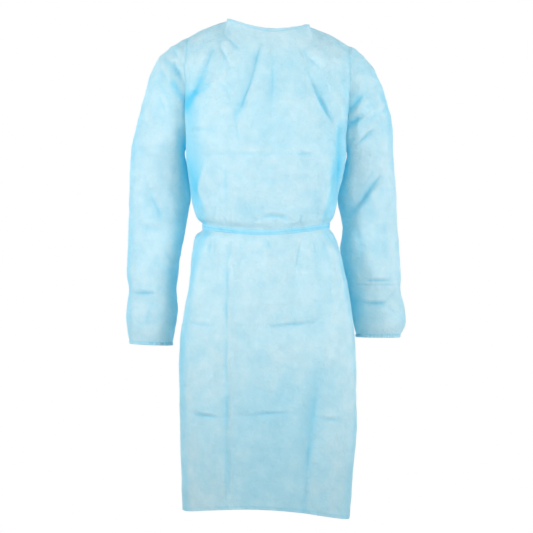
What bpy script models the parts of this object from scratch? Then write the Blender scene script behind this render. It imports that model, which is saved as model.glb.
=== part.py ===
"""A disposable procedure gown in the hollow form it has when worn, with no wearer.

Metres, +Z up. The front faces -Y and the wearer's left is +X. The origin lies between
the shoulders, midway between front and back, where the wearer carries the gown.

The cloth is a thin wall. Its outer face is a skin lofted through the sections in the
tables below: a body cut into a front and two lapped back panels, and two sleeves that
start on the armholes' own points. Folds push that skin in and out, and then each cut
piece gets its wall, a hair short of its seams.
"""

from collections import namedtuple
from math import pi

import bmesh
import bpy
import numpy as np
from mathutils import Matrix

# ---------------------------------------------------------------- driving dimensions

CLOTH = 0.0015  # wall of the non-woven cloth
SEAM_GAP = 0.0003  # clearance between two cut pieces

FRONT_COLUMNS = 26  # cells across the front panel
SHOULDER_COLUMNS = 6  # of those, cells along each shoulder seam
BACK_COLUMNS = 13  # cells across each back panel

LAP_LIFT = 0.0026  # how far the left back panel stands off the right one it covers
LAP_SPARE = 0.010  # how far past the right panel's edge it still stands off fully
LAP_FADE = 0.040  # and over how much more of its width it comes down to the seam
LAP_AT_NECK = -0.004  # half of the lap at the neck: negative, so the corners just miss
LAP_AT_HEM = 0.045  # half of the lap from the waist down

BINDING_HEIGHT = 0.007
BINDING_WALL = 0.0026
BINDING_GAP = 0.0005  # clearance between the binding and the neck edge

BELT_WALL = 0.0016
BELT_CLEAR = 0.0006  # between the belt and the cloth that it ties in

CUFF_HEIGHT = 0.008
CUFF_WALL = 0.0024
CUFF_GATHERS = 10
CUFF_GATHER_DEPTH = 0.0012
CUFF_COLUMNS = 60

TIE_WIDTH = 0.012
TIE_WALL = 0.0014
TIE_PINCH = 0.008  # its width where it leaves its knot
TIE_PINCHED = 0.3  # the share of its length over which it widens from there
TIE_CLEAR = 0.0018  # between a hanging tie and the back panel behind it
TIE_CELLS = 10

# Colours, as linear RGB
CLOTH_COLOUR = (0.53, 0.80, 0.90, 1.0)
BAND_COLOUR = (0.42, 0.74, 0.88, 1.0)

# ---------------------------------------------------------------- shoulders and neck

Point = namedtuple("Point", "x y z")

LEFT_SHOULDER = Point(0.186, 0.004, -0.002)
RIGHT_SHOULDER = Point(-0.183, 0.004, 0.016)
LEFT_NECK = Point(0.097, 0.002, 0.043)
RIGHT_NECK = Point(-0.092, 0.002, 0.056)
NECK_FRONT = Point(0.0, -0.085, 0.021)
NECK_BACK = Point(0.0, 0.066, 0.034)
NECK_SCOOP = 1.7  # 2 for an evenly curved neckline, and less for a fuller dip
SHOULDER_CROWN = 0.004  # how far a shoulder seam arches over the straight line

# ---------------------------------------------------------------- body sections

# One row for each level of the body. right_x and left_x are how far it reaches to the
# sides. The z columns give the level at the right edge, the middle and the left edge.
# side_front_y and side_back_y place the two edges, on the armhole down to the underarm
# and on the side seams below it, and front_y and back_y the middle of the front and of
# the back. wrap goes from 0, an open arc, to 1, a half section that turns round the side.
# tuck is how far past a quarter turn it goes there, as a share of the turn, so that the
# edge lies behind the widest point. square is 2 for an ellipse, and more for a flatter
# front. cells is the number of cell rows down to the next section.
Section = namedtuple(
    "Section",
    "name right_x left_x right_z mid_z left_z"
    " side_front_y side_back_y front_y back_y wrap tuck square cells",
)

TOP_CELLS = 3  # cell rows between the shoulder seams and the first section

SECTIONS = [
    Section("yoke", -0.184, 0.187, -0.036, -0.020, -0.046, -0.044, 0.048, -0.099, 0.086, 0.4, 0, 2.0, 2),
    Section("upper chest", -0.186, 0.187, -0.086, -0.078, -0.093, -0.050, 0.056, -0.116, 0.104, 0.7, 0, 2.1, 2),
    Section("chest", -0.187, 0.185, -0.139, -0.137, -0.143, -0.046, 0.054, -0.128, 0.115, 1, 0, 2.2, 2),
    Section("armpit", -0.187, 0.182, -0.187, -0.188, -0.190, -0.032, 0.044, -0.134, 0.120, 1, 0.03, 2.3, 2),
    Section("underarm", -0.186, 0.179, -0.230, -0.233, -0.234, 0.008, 0.008, -0.137, 0.120, 1, 0.11, 2.4, 1),
    Section("bust", -0.185, 0.178, -0.262, -0.262, -0.262, 0.002, 0.002, -0.138, 0.120, 1, 0.11, 2.4, 1),
    Section("ribs", -0.180, 0.172, -0.302, -0.302, -0.302, -0.006, -0.006, -0.135, 0.116, 1, 0.06, 2.4, 1),
    Section("midriff", -0.175, 0.162, -0.346, -0.346, -0.346, -0.010, -0.010, -0.129, 0.109, 1, 0, 2.3, 1),
    Section("blouse", -0.168, 0.155, -0.379, -0.382, -0.379, -0.010, -0.010, -0.124, 0.103, 1, 0, 2.3, 1),
    Section("overhang", -0.159, 0.148, -0.400, -0.410, -0.398, -0.010, -0.010, -0.118, 0.097, 1, 0, 2.3, 1),
    Section("belt top", -0.148, 0.141, -0.411, -0.425, -0.408, -0.010, -0.010, -0.107, 0.090, 1, 0, 2.3, 1),
    Section("belt foot", -0.148, 0.141, -0.424, -0.438, -0.421, -0.010, -0.010, -0.107, 0.090, 1, 0, 2.3, 1),
    Section("gather", -0.162, 0.151, -0.435, -0.449, -0.434, -0.010, -0.010, -0.114, 0.098, 1, 0, 2.3, 1),
    Section("high hip", -0.171, 0.164, -0.470, -0.474, -0.468, -0.010, -0.010, -0.119, 0.107, 1, 0, 2.4, 2),
    Section("hip", -0.177, 0.178, -0.528, -0.528, -0.528, -0.010, -0.010, -0.126, 0.121, 1, 0, 2.6, 2),
    Section("seat", -0.188, 0.191, -0.601, -0.601, -0.601, -0.010, -0.010, -0.131, 0.129, 1, 0, 2.7, 2),
    Section("thigh", -0.201, 0.201, -0.690, -0.690, -0.690, -0.010, -0.010, -0.134, 0.133, 1, 0, 2.8, 2),
    Section("lower thigh", -0.201, 0.202, -0.790, -0.788, -0.790, -0.010, -0.010, -0.133, 0.134, 1, 0, 2.8, 2),
    Section("above knee", -0.199, 0.204, -0.872, -0.868, -0.874, -0.010, -0.010, -0.131, 0.134, 1, 0, 2.8, 2),
    Section("knee", -0.197, 0.196, -0.970, -0.962, -0.976, -0.010, -0.010, -0.128, 0.132, 1, 0, 2.8, 2),
    Section("hem", -0.194, 0.187, -1.062, -1.050, -1.081, -0.010, -0.010, -0.126, 0.130, 1, 0, 2.8, 0),
]

ARMHOLE_SECTIONS = 5  # the sections whose side edges lie on the armhole
BELT_SECTIONS = ("belt top", "belt foot")
WAIST_Z = -0.4315

# ---------------------------------------------------------------- sleeve sections

# One row for each ring of a sleeve past the armhole. outer and inner are the ends of the
# ring's long diameter, away from the body and next to it. mid_y is the ring's middle and
# deep half of its depth. cells is the number of cell rows down to the next ring.
Ring = namedtuple("Ring", "name outer_x outer_z inner_x inner_z mid_y deep cells")

ARMHOLE_CELLS = 1  # cell rows between the armhole and the first ring
EVEN_RING = 5  # from this ring on, a sleeve's points lie evenly round it

LEFT_SLEEVE = [
    Ring("cap", 0.207, -0.012, 0.181, -0.243, 0.008, 0.060, 1),
    Ring("cap crown", 0.232, -0.036, 0.183, -0.248, 0.012, 0.068, 1),
    Ring("deltoid", 0.255, -0.070, 0.183, -0.256, 0.017, 0.074, 2),
    Ring("upper arm", 0.272, -0.116, 0.181, -0.268, 0.024, 0.076, 2),
    Ring("biceps", 0.287, -0.170, 0.178, -0.284, 0.031, 0.073, 2),
    Ring("mid arm", 0.290, -0.241, 0.173, -0.308, 0.037, 0.069, 2),
    Ring("above elbow", 0.298, -0.325, 0.163, -0.350, 0.042, 0.066, 2),
    Ring("elbow", 0.300, -0.402, 0.174, -0.412, 0.043, 0.064, 2),
    Ring("forearm", 0.307, -0.478, 0.169, -0.478, 0.043, 0.062, 2),
    Ring("mid forearm", 0.310, -0.530, 0.180, -0.530, 0.042, 0.060, 1),
    Ring("nip", 0.309, -0.561, 0.187, -0.561, 0.041, 0.056, 2),
    Ring("lower bulge", 0.320, -0.618, 0.196, -0.616, 0.038, 0.058, 1),
    Ring("above cuff", 0.317, -0.650, 0.201, -0.648, 0.036, 0.052, 1),
    Ring("cuff seam", 0.308, -0.664, 0.205, -0.663, 0.035, 0.045, 0),
]

RIGHT_SLEEVE = [
    Ring("cap", -0.208, 0.005, -0.188, -0.239, 0.008, 0.060, 1),
    Ring("cap crown", -0.242, -0.020, -0.190, -0.244, 0.012, 0.068, 1),
    Ring("deltoid", -0.267, -0.058, -0.190, -0.252, 0.017, 0.074, 2),
    Ring("upper arm", -0.284, -0.116, -0.188, -0.264, 0.024, 0.076, 2),
    Ring("biceps", -0.303, -0.180, -0.184, -0.281, 0.030, 0.073, 2),
    Ring("mid arm", -0.315, -0.245, -0.180, -0.308, 0.034, 0.069, 2),
    Ring("above elbow", -0.319, -0.330, -0.177, -0.347, 0.037, 0.066, 2),
    Ring("elbow", -0.321, -0.410, -0.187, -0.410, 0.038, 0.064, 2),
    Ring("forearm", -0.325, -0.490, -0.201, -0.488, 0.036, 0.060, 2),
    Ring("mid forearm", -0.326, -0.528, -0.206, -0.528, 0.033, 0.057, 1),
    Ring("nip", -0.320, -0.556, -0.210, -0.558, 0.031, 0.053, 2),
    Ring("lower bulge", -0.326, -0.612, -0.206, -0.610, 0.029, 0.056, 1),
    Ring("above cuff", -0.324, -0.658, -0.214, -0.658, 0.027, 0.051, 1),
    Ring("cuff seam", -0.319, -0.678, -0.219, -0.682, 0.026, 0.044, 0),
]

# ---------------------------------------------------------------- folds

# One row for each large fold, drawn on the cloth seen from the front: it runs from its
# start by way of a middle point to its end. depth is how far it pushes the cloth out, and
# is negative for a trough. lip is the share of that depth that the cloth swells the other
# way beside the fold, on its left when positive and on its right when negative.
Fold = namedtuple("Fold", "face x0 z0 x1 z1 x2 z2 width depth lip")

FOLDS = [
    # from the neck and the shoulders down over the chest
    Fold("front", -0.015, -0.015, -0.044, -0.105, -0.068, -0.200, 0.019, -0.0075, 0.5),
    Fold("front", 0.012, -0.030, 0.011, -0.110, 0.008, -0.200, 0.022, -0.0040, -0.4),
    Fold("front", 0.088, -0.060, 0.124, -0.140, 0.156, -0.225, 0.018, -0.0075, -0.5),
    Fold("front", 0.158, -0.200, 0.161, -0.285, 0.148, -0.390, 0.016, -0.0065, 0.4),
    Fold("front", 0.066, 0.000, 0.100, -0.048, 0.142, -0.105, 0.018, -0.0040, 0.3),
    Fold("front", -0.112, -0.005, -0.144, -0.070, -0.166, -0.140, 0.018, -0.0055, -0.4),
    # blousing over the belt
    Fold("front", -0.128, -0.330, -0.124, -0.375, -0.112, -0.424, 0.017, -0.0055, 0.5),
    Fold("front", -0.046, -0.355, -0.044, -0.390, -0.036, -0.424, 0.018, -0.0045, 0.5),
    Fold("front", 0.044, -0.360, 0.040, -0.395, 0.038, -0.424, 0.016, -0.0040, 0.5),
    Fold("front", 0.108, -0.335, 0.112, -0.380, 0.104, -0.424, 0.018, -0.0055, 0.5),
    # gathers that hang from the belt
    Fold("front", -0.112, -0.440, -0.124, -0.480, -0.136, -0.535, 0.016, -0.0060, 0.5),
    Fold("front", -0.078, -0.440, -0.086, -0.500, -0.092, -0.590, 0.018, -0.0065, 0.5),
    Fold("front", 0.076, -0.440, 0.068, -0.500, 0.058, -0.580, 0.018, -0.0055, -0.4),
    Fold("front", 0.134, -0.440, 0.152, -0.540, 0.144, -0.680, 0.017, 0.0055, -0.5),
    # soft hollows and a packing crease down the skirt
    Fold("front", -0.092, -0.540, -0.095, -0.800, -0.098, -1.100, 0.020, 0.0045, -0.5),
    Fold("front", 0.124, -0.600, 0.106, -0.810, 0.074, -1.100, 0.024, -0.0085, 0.4),
    Fold("front", -0.010, -0.650, 0.055, -0.640, 0.120, -0.650, 0.018, -0.0040, 0.4),
    # back: from the neck, over the belt and down the skirt
    Fold("back", -0.050, -0.020, -0.075, -0.110, -0.120, -0.220, 0.022, -0.0065, -0.4),
    Fold("back", 0.058, -0.020, 0.080, -0.110, 0.120, -0.215, 0.022, -0.0060, 0.4),
    Fold("back", -0.112, -0.310, -0.100, -0.370, -0.090, -0.420, 0.019, -0.0060, 0.4),
    Fold("back", 0.116, -0.300, 0.104, -0.370, 0.092, -0.420, 0.019, -0.0055, -0.4),
    Fold("back", -0.092, -0.440, -0.104, -0.540, -0.112, -0.680, 0.021, -0.0065, 0.4),
    Fold("back", 0.096, -0.440, 0.114, -0.560, 0.126, -0.720, 0.021, -0.0065, -0.4),
    Fold("back", -0.132, -0.660, -0.126, -0.880, -0.116, -1.100, 0.026, -0.0080, 0.3),
    Fold("back", 0.112, -0.700, 0.108, -0.880, 0.100, -1.100, 0.024, -0.0070, -0.3),
    # wearer's left sleeve
    Fold("front", 0.262, -0.155, 0.226, -0.182, 0.190, -0.200, 0.017, 0.0050, 0.5),
    Fold("front", 0.268, -0.290, 0.230, -0.340, 0.184, -0.392, 0.017, -0.0075, 0.5),
    Fold("back", 0.200, -0.300, 0.240, -0.270, 0.280, -0.225, 0.018, -0.0060, 0.4),
    Fold("back", 0.182, -0.440, 0.240, -0.456, 0.290, -0.430, 0.018, -0.0055, 0.4),
    # wearer's right sleeve
    Fold("front", -0.232, -0.030, -0.206, -0.066, -0.186, -0.112, 0.016, -0.0060, 0.5),
    Fold("front", -0.300, -0.330, -0.256, -0.372, -0.206, -0.400, 0.018, -0.0045, -0.4),
    Fold("back", -0.200, -0.290, -0.248, -0.262, -0.296, -0.215, 0.018, -0.0055, -0.4),
    Fold("back", -0.204, -0.430, -0.256, -0.448, -0.304, -0.424, 0.018, -0.0055, -0.4),
]

FOLD_STEPS = 24  # straight runs that each fold's curve is taken as
FOLD_ENDS = 0.6  # how fast a fold dies out at its ends: 1 as a sine does, less for later
LIP_PLACE = 2.0  # where a fold's lip lies beside it, in fold widths
LIP_WIDTH = 1.3  # and how wide that lip is, in fold widths
SIDE_TURN = 0.1  # cloth turned this far from the fold's face has no fold of it left
FACE_TURN = 0.6  # and turned only this far it has all of it
BELT_KEEPS = 0.35  # the share of each fold that is left under the belt
BELT_HALF = 0.012  # how far from the belt's middle the cloth is held like that
BELT_FREE = 0.030  # and how far from it the folds are whole
CUFF_ROWS = 3  # rows above a cuff over which the folds come in

# ---------------------------------------------------------------- ties

# Each tie hangs down over a back panel, from its knot to its foot.
Tie = namedtuple("Tie", "name panel top_x top_z foot_x foot_z")

TIES = [
    Tie("neck_tie_left", "back_panel_left", 0.0050, 0.0270, 0.026, -0.170),
    Tie("neck_tie_right", "back_panel_right", -0.0060, 0.0274, -0.042, -0.140),
    Tie("belt_tie_left", "back_panel_left", 0.0050, -0.4422, 0.022, -0.665),
    Tie("belt_tie_right", "back_panel_left", -0.0050, -0.4422, -0.020, -0.625),
]

KNOT_DEPTH = 0.009
NECK_KNOT = Point(0.024, KNOT_DEPTH, 0.014)
BELT_KNOT = Point(0.024, KNOT_DEPTH, 0.018)
KNOT_ROUNDING = 0.0025

# ---------------------------------------------------------------- curves and grids


def mix(a, b, share):
    """The value that lies at this share of the way from a to b."""
    return a + (b - a) * share


def soft_step(value, low, high):
    """Rises from 0 at low to 1 at high, with level ends."""
    share = np.clip((value - low) / (high - low), 0, 1)
    return share * share * (3 - 2 * share)


def even(curve, cells):
    """The curve's points made cells + 1 in number, evenly spaced along it."""
    steps = np.linalg.norm(np.diff(curve, axis=0), axis=1)
    run = np.concatenate([[0], np.cumsum(steps)])
    wanted = np.linspace(0, run[-1], cells + 1)
    return np.stack([np.interp(wanted, run, curve[:, k]) for k in range(3)], axis=1)


def through(keys, cells):
    """Rows of points on smooth curves through the key rows, cells[i] steps after key i."""
    keys = np.asarray(keys)
    gaps = np.linalg.norm(np.diff(keys, axis=0), axis=2).mean(axis=1)
    gaps = gaps[:, None, None]
    slopes = np.diff(keys, axis=0) / gaps
    inner = (slopes[:-1] * gaps[1:] + slopes[1:] * gaps[:-1]) / (gaps[1:] + gaps[:-1])
    ends = 2 * slopes[:1] - inner[:1], 2 * slopes[-1:] - inner[-1:]
    tangents = np.concatenate([ends[0], inner, ends[1]])
    rows = []
    for i, count in enumerate(cells):
        for t in np.arange(count) / count:
            rows.append(
                (2 * t**3 - 3 * t**2 + 1) * keys[i]
                + (t**3 - 2 * t**2 + t) * gaps[i] * tangents[i]
                + (3 * t**2 - 2 * t**3) * keys[i + 1]
                + (t**3 - t**2) * gaps[i] * tangents[i + 1]
            )
    return np.array(rows + [keys[-1]])


def shoulder_seam(start, end):
    """The arched seam from one of its ends to the other."""
    t = np.linspace(0, 1, 41)[:, None]
    line = mix(np.array(start), np.array(end), t)
    line[:, 2] += SHOULDER_CROWN * np.sin(pi * t[:, 0])
    return line


def neck_curve(middle):
    """The neck edge from the right to the left shoulder seam, past this middle point."""
    turn = np.linspace(-pi / 2, pi / 2, 161)
    across = np.sin(turn)
    mid_x = (RIGHT_NECK.x + LEFT_NECK.x) / 2
    half = (LEFT_NECK.x - RIGHT_NECK.x) / 2
    ends = (RIGHT_NECK.z + LEFT_NECK.z) / 2
    tilt = (LEFT_NECK.z - RIGHT_NECK.z) / 2
    x = mid_x + half * across
    y = RIGHT_NECK.y + (middle.y - RIGHT_NECK.y) * np.cos(turn)
    z = middle.z + tilt * across + (ends - middle.z) * np.abs(across) ** NECK_SCOOP
    return np.stack([x, y, z], axis=1)


def section_curve(section, face):
    """One level of the front or of the back, from the right edge to the left one."""
    u = np.linspace(-1, 1, 321)
    turn = np.sin(u * (1 + section.tuck) * pi / 2)
    across = mix(u, turn, section.wrap)
    arc = 1 - u**2
    turned = (1 - np.abs(np.sin(u * pi / 2)) ** section.square).clip(0)
    bulge = mix(arc, turned ** (1 / section.square), section.wrap)
    if face == "front":
        side_y, middle_y = section.side_front_y, section.front_y
    else:
        side_y, middle_y = section.side_back_y, section.back_y
    x = mix(section.right_x, section.left_x, (across + 1) / 2)
    y = side_y + (middle_y - side_y) * bulge
    tilt = (section.left_z - section.right_z) / 2
    ends = (section.left_z + section.right_z) / 2
    z = section.mid_z + tilt * across + (ends - section.mid_z) * across**2
    return np.stack([x, y, z], axis=1)


def part_of(curve, start, end):
    """The stretch of a curve between two lengths along it."""
    run = np.linalg.norm(np.diff(curve, axis=0), axis=1)
    run = np.concatenate([[0], np.cumsum(run)])
    wanted = np.linspace(start, end, len(curve))
    return np.stack([np.interp(wanted, run, curve[:, k]) for k in range(3)], axis=1)


def length_of(curve):
    return np.linalg.norm(np.diff(curve, axis=0), axis=1).sum()


def front_grid():
    """The front panel's skin, rows down and columns from its right edge to its left."""
    neck_cells = FRONT_COLUMNS - 2 * SHOULDER_COLUMNS
    top = np.concatenate(
        [
            even(shoulder_seam(RIGHT_SHOULDER, RIGHT_NECK), SHOULDER_COLUMNS)[:-1],
            even(neck_curve(NECK_FRONT), neck_cells)[:-1],
            even(shoulder_seam(LEFT_NECK, LEFT_SHOULDER), SHOULDER_COLUMNS),
        ]
    )
    levels = [even(section_curve(s, "front"), FRONT_COLUMNS) for s in SECTIONS]
    return through([top, *levels], [TOP_CELLS, *[s.cells for s in SECTIONS[:-1]]])


def half_lap(z):
    """Half of the lap of the back panels at a level."""
    return mix(LAP_AT_NECK, LAP_AT_HEM, soft_step(-z, 0, -WAIST_Z))


def back_grid(side):
    """A back panel's skin. The left one's columns run from its side seam to its free
    edge, and the right one's from its free edge to its side seam."""
    neck_cells = BACK_COLUMNS - SHOULDER_COLUMNS
    neck = neck_curve(NECK_BACK)
    half = length_of(neck) / 2
    if side == "left":
        seam = shoulder_seam(LEFT_SHOULDER, LEFT_NECK)
        neck = part_of(neck[::-1], 0, half + LAP_AT_NECK)
        top = [even(seam, SHOULDER_COLUMNS)[:-1], even(neck, neck_cells)]
    else:
        seam = shoulder_seam(RIGHT_NECK, RIGHT_SHOULDER)
        neck = part_of(neck[::-1], half - LAP_AT_NECK, 2 * half)
        top = [even(neck, neck_cells)[:-1], even(seam, SHOULDER_COLUMNS)]
    levels = []
    for section in SECTIONS:
        curve = section_curve(section, "back")[::-1]
        half, lap = length_of(curve) / 2, half_lap(section.mid_z)
        start, end = (0, half + lap) if side == "left" else (half - lap, 2 * half)
        levels.append(even(part_of(curve, start, end), BACK_COLUMNS))
    keys = [np.concatenate(top), *levels]
    return through(keys, [TOP_CELLS, *[s.cells for s in SECTIONS[:-1]]])


def armhole_rows():
    return TOP_CELLS + sum(s.cells for s in SECTIONS[: ARMHOLE_SECTIONS - 1])


def row_of(name):
    """The grid row on which a named section lies."""
    names = [s.name for s in SECTIONS]
    return TOP_CELLS + sum(s.cells for s in SECTIONS[: names.index(name)])


def join_side_seams(front, back_left, back_right):
    """Gives the front and back one side seam below the armholes, midway between them."""
    below = slice(armhole_rows(), None)
    for column, back, back_column in ((0, back_right, -1), (-1, back_left, 0)):
        seam = (front[below, column] + back[below, back_column]) / 2
        front[below, column] = seam
        back[below, back_column] = seam


def sleeve_grid(rings, front_edge, back_edge):
    """A sleeve's skin: rows down from the armhole, columns once round the arm. The
    first row is the armhole itself, as the front and back panels' edges give it."""
    half = len(front_edge) - 1
    even_turn = pi * np.arange(2 * half) / half
    keys = [np.concatenate([front_edge, back_edge[-2:0:-1]])]
    height = keys[0][:, 2]
    share = (height - height.min()) / (height.max() - height.min())
    armhole_turn = np.arccos(2 * share - 1)
    armhole_turn[half + 1 :] = 2 * pi - armhole_turn[half + 1 :]
    for number, ring in enumerate(rings):
        turn = mix(armhole_turn, even_turn, soft_step(number, 0, EVEN_RING))
        outer = np.array([ring.outer_x, ring.mid_y, ring.outer_z])
        inner = np.array([ring.inner_x, ring.mid_y, ring.inner_z])
        key = (outer + inner) / 2 + np.cos(turn)[:, None] * (outer - inner) / 2
        key[:, 1] -= ring.deep * np.sin(turn)
        keys.append(key)
    if rings[0].outer_x > 0:  # the other way round, so that the faces look outwards
        keys = [np.roll(key[::-1], 1, axis=0) for key in keys]
    return through(keys, [ARMHOLE_CELLS, *[r.cells for r in rings[:-1]]])


# ---------------------------------------------------------------- the skin and its folds


def cell_corners(shape, ring):
    """The four corners' indices of each cell of a grid, going round it."""
    rows, columns = shape
    index = np.arange(rows * columns).reshape(rows, columns)
    if ring:
        index = np.concatenate([index, index[:, :1]], axis=1)
    corners = (index[:-1, :-1], index[1:, :-1], index[1:, 1:], index[:-1, 1:])
    return np.stack([c.ravel() for c in corners], axis=1)


def own_normals(grid, ring):
    """Sums of the normals of the cells that meet at each point of one piece."""
    points = grid.reshape(-1, 3)
    cells = cell_corners(grid.shape[:2], ring)
    a, b, c, d = (points[cells[:, k]] for k in range(4))
    faces = np.cross(c - a, d - b)
    faces /= np.linalg.norm(faces, axis=1, keepdims=True) + 1e-12
    sums = np.zeros_like(points)
    for k in range(4):
        np.add.at(sums, cells[:, k], faces)
    return sums


def skin_normals(pieces):
    """Unit normals for each piece of the skin. Pieces share them along their seams."""
    own = {name: own_normals(p.grid, p.ring) for name, p in pieces.items()}
    points = np.concatenate([p.grid.reshape(-1, 3) for p in pieces.values()])
    _, shared = np.unique(np.round(points, 6), axis=0, return_inverse=True)
    shared = shared.reshape(-1)
    sums = np.zeros((shared.max() + 1, 3))
    np.add.at(sums, shared, np.concatenate(list(own.values())))
    sums = sums[shared]
    found, start = {}, 0
    for name, piece in pieces.items():
        count = len(own[name])
        normal = sums[start : start + count]
        normal = normal / np.linalg.norm(normal, axis=1, keepdims=True)
        found[name] = normal.reshape(piece.grid.shape)
        start += count
    return found


def fold_push(fold, points, normals):
    """How far one fold pushes each point out along its normal."""
    t = np.linspace(0, 1, FOLD_STEPS + 1)[:, None]
    start, middle, end = (
        np.array([fold.x0, fold.z0]),
        np.array([fold.x1, fold.z1]),
        np.array([fold.x2, fold.z2]),
    )
    bend = 2 * middle - (start + end) / 2  # so that the curve passes the middle point
    line = (1 - t) ** 2 * start + 2 * t * (1 - t) * bend + t**2 * end
    seen = points[..., [0, 2]].reshape(-1, 1, 2)
    run = line[1:] - line[:-1]
    along = ((seen - line[:-1]) * run).sum(axis=2) / (run**2).sum(axis=1)
    nearest = line[:-1] + along.clip(0, 1)[..., None] * run
    away = seen - nearest
    distance = np.linalg.norm(away, axis=2)
    best = distance.argmin(axis=1)
    pick = np.arange(len(best))
    side = run[best, 0] * away[pick, best, 1] - run[best, 1] * away[pick, best, 0]
    signed = np.copysign(distance[pick, best], side)
    share = (best + along[pick, best].clip(0, 1)) / FOLD_STEPS
    fade = np.sin(pi * share.clip(0.02, 0.98)) ** FOLD_ENDS
    ridge = np.exp(-((signed / fold.width) ** 2))
    beside = np.copysign(LIP_PLACE * fold.width, fold.lip)
    lip = abs(fold.lip) * np.exp(-(((signed - beside) / (LIP_WIDTH * fold.width)) ** 2))
    facing = normals[..., 1].reshape(-1) * (-1 if fold.face == "front" else 1)
    push = fold.depth * fade * (ridge - lip) * soft_step(facing, SIDE_TURN, FACE_TURN)
    return push.reshape(points.shape[:2])


def folded(pieces):
    """The skin with every fold pushed in."""
    normals = skin_normals(pieces)
    for name, piece in pieces.items():
        push = sum(fold_push(f, piece.grid, normals[name]) for f in FOLDS)
        if piece.ring:  # the cuff's seam stays a level ring
            rows = len(piece.grid)
            push *= soft_step(rows - 1 - np.arange(rows), 0, CUFF_ROWS)[:, None]
        else:  # the belt holds the cloth where it ties it in
            z = piece.grid[..., 2]
            push *= mix(BELT_KEEPS, 1, soft_step(abs(z - WAIST_Z), BELT_HALF, BELT_FREE))
        piece.grid += normals[name] * push[..., None]


def lift_lap(grid, normals):
    """Stands the left back panel off the right one where it covers it."""
    steps = np.linalg.norm(np.diff(grid[:, ::-1], axis=1), axis=2)
    run = np.cumsum(steps, axis=1)[:, ::-1]  # from the free edge
    run = np.concatenate([run, np.zeros((len(grid), 1))], axis=1)
    past = run - 2 * half_lap(grid[..., 2])
    lift = LAP_LIFT * (1 - soft_step(past, LAP_SPARE, LAP_SPARE + LAP_FADE))
    grid += normals * lift[..., None]


# ---------------------------------------------------------------- walls


def trimmed(grid, sides):
    """The grid with the named edges drawn back by half of a seam gap."""
    grid = grid.copy()
    edges = {
        "top": (np.s_[0], np.s_[1]),
        "left": (np.s_[:, 0], np.s_[:, 1]),
        "right": (np.s_[:, -1], np.s_[:, -2]),
    }
    for name, rows in sides:
        edge, inside = edges[name]
        move = (grid[inside] - grid[edge])[rows]
        size = np.linalg.norm(move, axis=1, keepdims=True)
        line = grid[edge]
        line[rows] += move / size * SEAM_GAP / 2
        grid[edge] = line
    return grid


def cells_of(index, ring=False, flip=False, mirrored=()):
    """The cells of a grid of vertex indices as loops of four, each cut across from its
    first corner to its third. Mirrored columns are cut across the other way."""
    if ring:
        index = np.concatenate([index, index[:, :1]], axis=1)
    corners = [index[:-1, :-1], index[1:, :-1], index[1:, 1:], index[:-1, 1:]]
    if flip:
        corners[1], corners[3] = corners[3], corners[1]
    cells = np.stack(corners, axis=-1)
    cells[:, list(mirrored)] = np.roll(cells[:, list(mirrored)], -1, axis=-1)
    return cells.reshape(-1, 4)


def wall_between(name, outer, inner, material, ring=False, mirrored=()):
    """A closed wall between an outer and an inner grid of points."""
    count = outer.shape[0] * outer.shape[1]
    index = np.arange(count).reshape(outer.shape[:2])
    faces = [
        cells_of(index, ring, False, mirrored),
        cells_of(index + count, ring, True, mirrored),
        cells_of(np.stack([index[0], index[0] + count]), ring, True),
        cells_of(np.stack([index[-1], index[-1] + count]), ring),
    ]
    if not ring:
        faces.append(cells_of(np.stack([index[:, 0], index[:, 0] + count])))
        faces.append(cells_of(np.stack([index[:, -1], index[:, -1] + count]), flip=True))
    mesh = bpy.data.meshes.new(name)
    points = np.concatenate([outer.reshape(-1, 3), inner.reshape(-1, 3)])
    mesh.from_pydata(points.tolist(), [], np.concatenate(faces).tolist())
    return placed(name, mesh, material)


def placed(name, mesh, material):
    """The mesh as a named object of the gown."""
    mesh.shade_smooth()
    mesh.set_sharp_from_angle(angle=pi / 3)
    mesh.materials.append(material)
    made = bpy.data.objects.new(name, mesh)
    bpy.data.collections[COLLECTION].objects.link(made)
    return made


def sheet_wall(name, grid, normals, clear, wall, material, ring=False):
    """A wall that lies this clear of a grid of points, and is this thick."""
    inner = grid + normals * clear
    outer = grid + normals * (clear + wall)
    return wall_between(name, outer, inner, material, ring)


def cloth_material(name, colour, roughness):
    material = bpy.data.materials.new(name)
    material.use_nodes = True
    shader = material.node_tree.nodes["Principled BSDF"]
    shader.inputs["Base Color"].default_value = colour
    shader.inputs["Roughness"].default_value = roughness
    shader.inputs["Metallic"].default_value = 0.0
    return material


# ---------------------------------------------------------------- the cut pieces

COLLECTION = "procedure_gown"


class Piece:
    """A cut piece's skin: its grid of points, and whether its columns close a ring."""

    def __init__(self, grid, ring=False):
        self.grid = grid
        self.ring = ring


def skin():
    """The skin of the body and the sleeves, folds and all, by the names of the pieces."""
    front, left, right = front_grid(), back_grid("left"), back_grid("right")
    join_side_seams(front, left, right)
    rows = armhole_rows() + 1
    pieces = {
        "front_panel": Piece(front),
        "back_panel_left": Piece(left),
        "back_panel_right": Piece(right),
        "sleeve_left": Piece(sleeve_grid(LEFT_SLEEVE, front[:rows, -1], left[:rows, 0]), True),
        "sleeve_right": Piece(sleeve_grid(RIGHT_SLEEVE, front[:rows, 0], right[:rows, -1]), True),
    }
    folded(pieces)
    lift_lap(pieces["back_panel_left"].grid, skin_normals(pieces)["back_panel_left"])
    return pieces, skin_normals(pieces)


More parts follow.
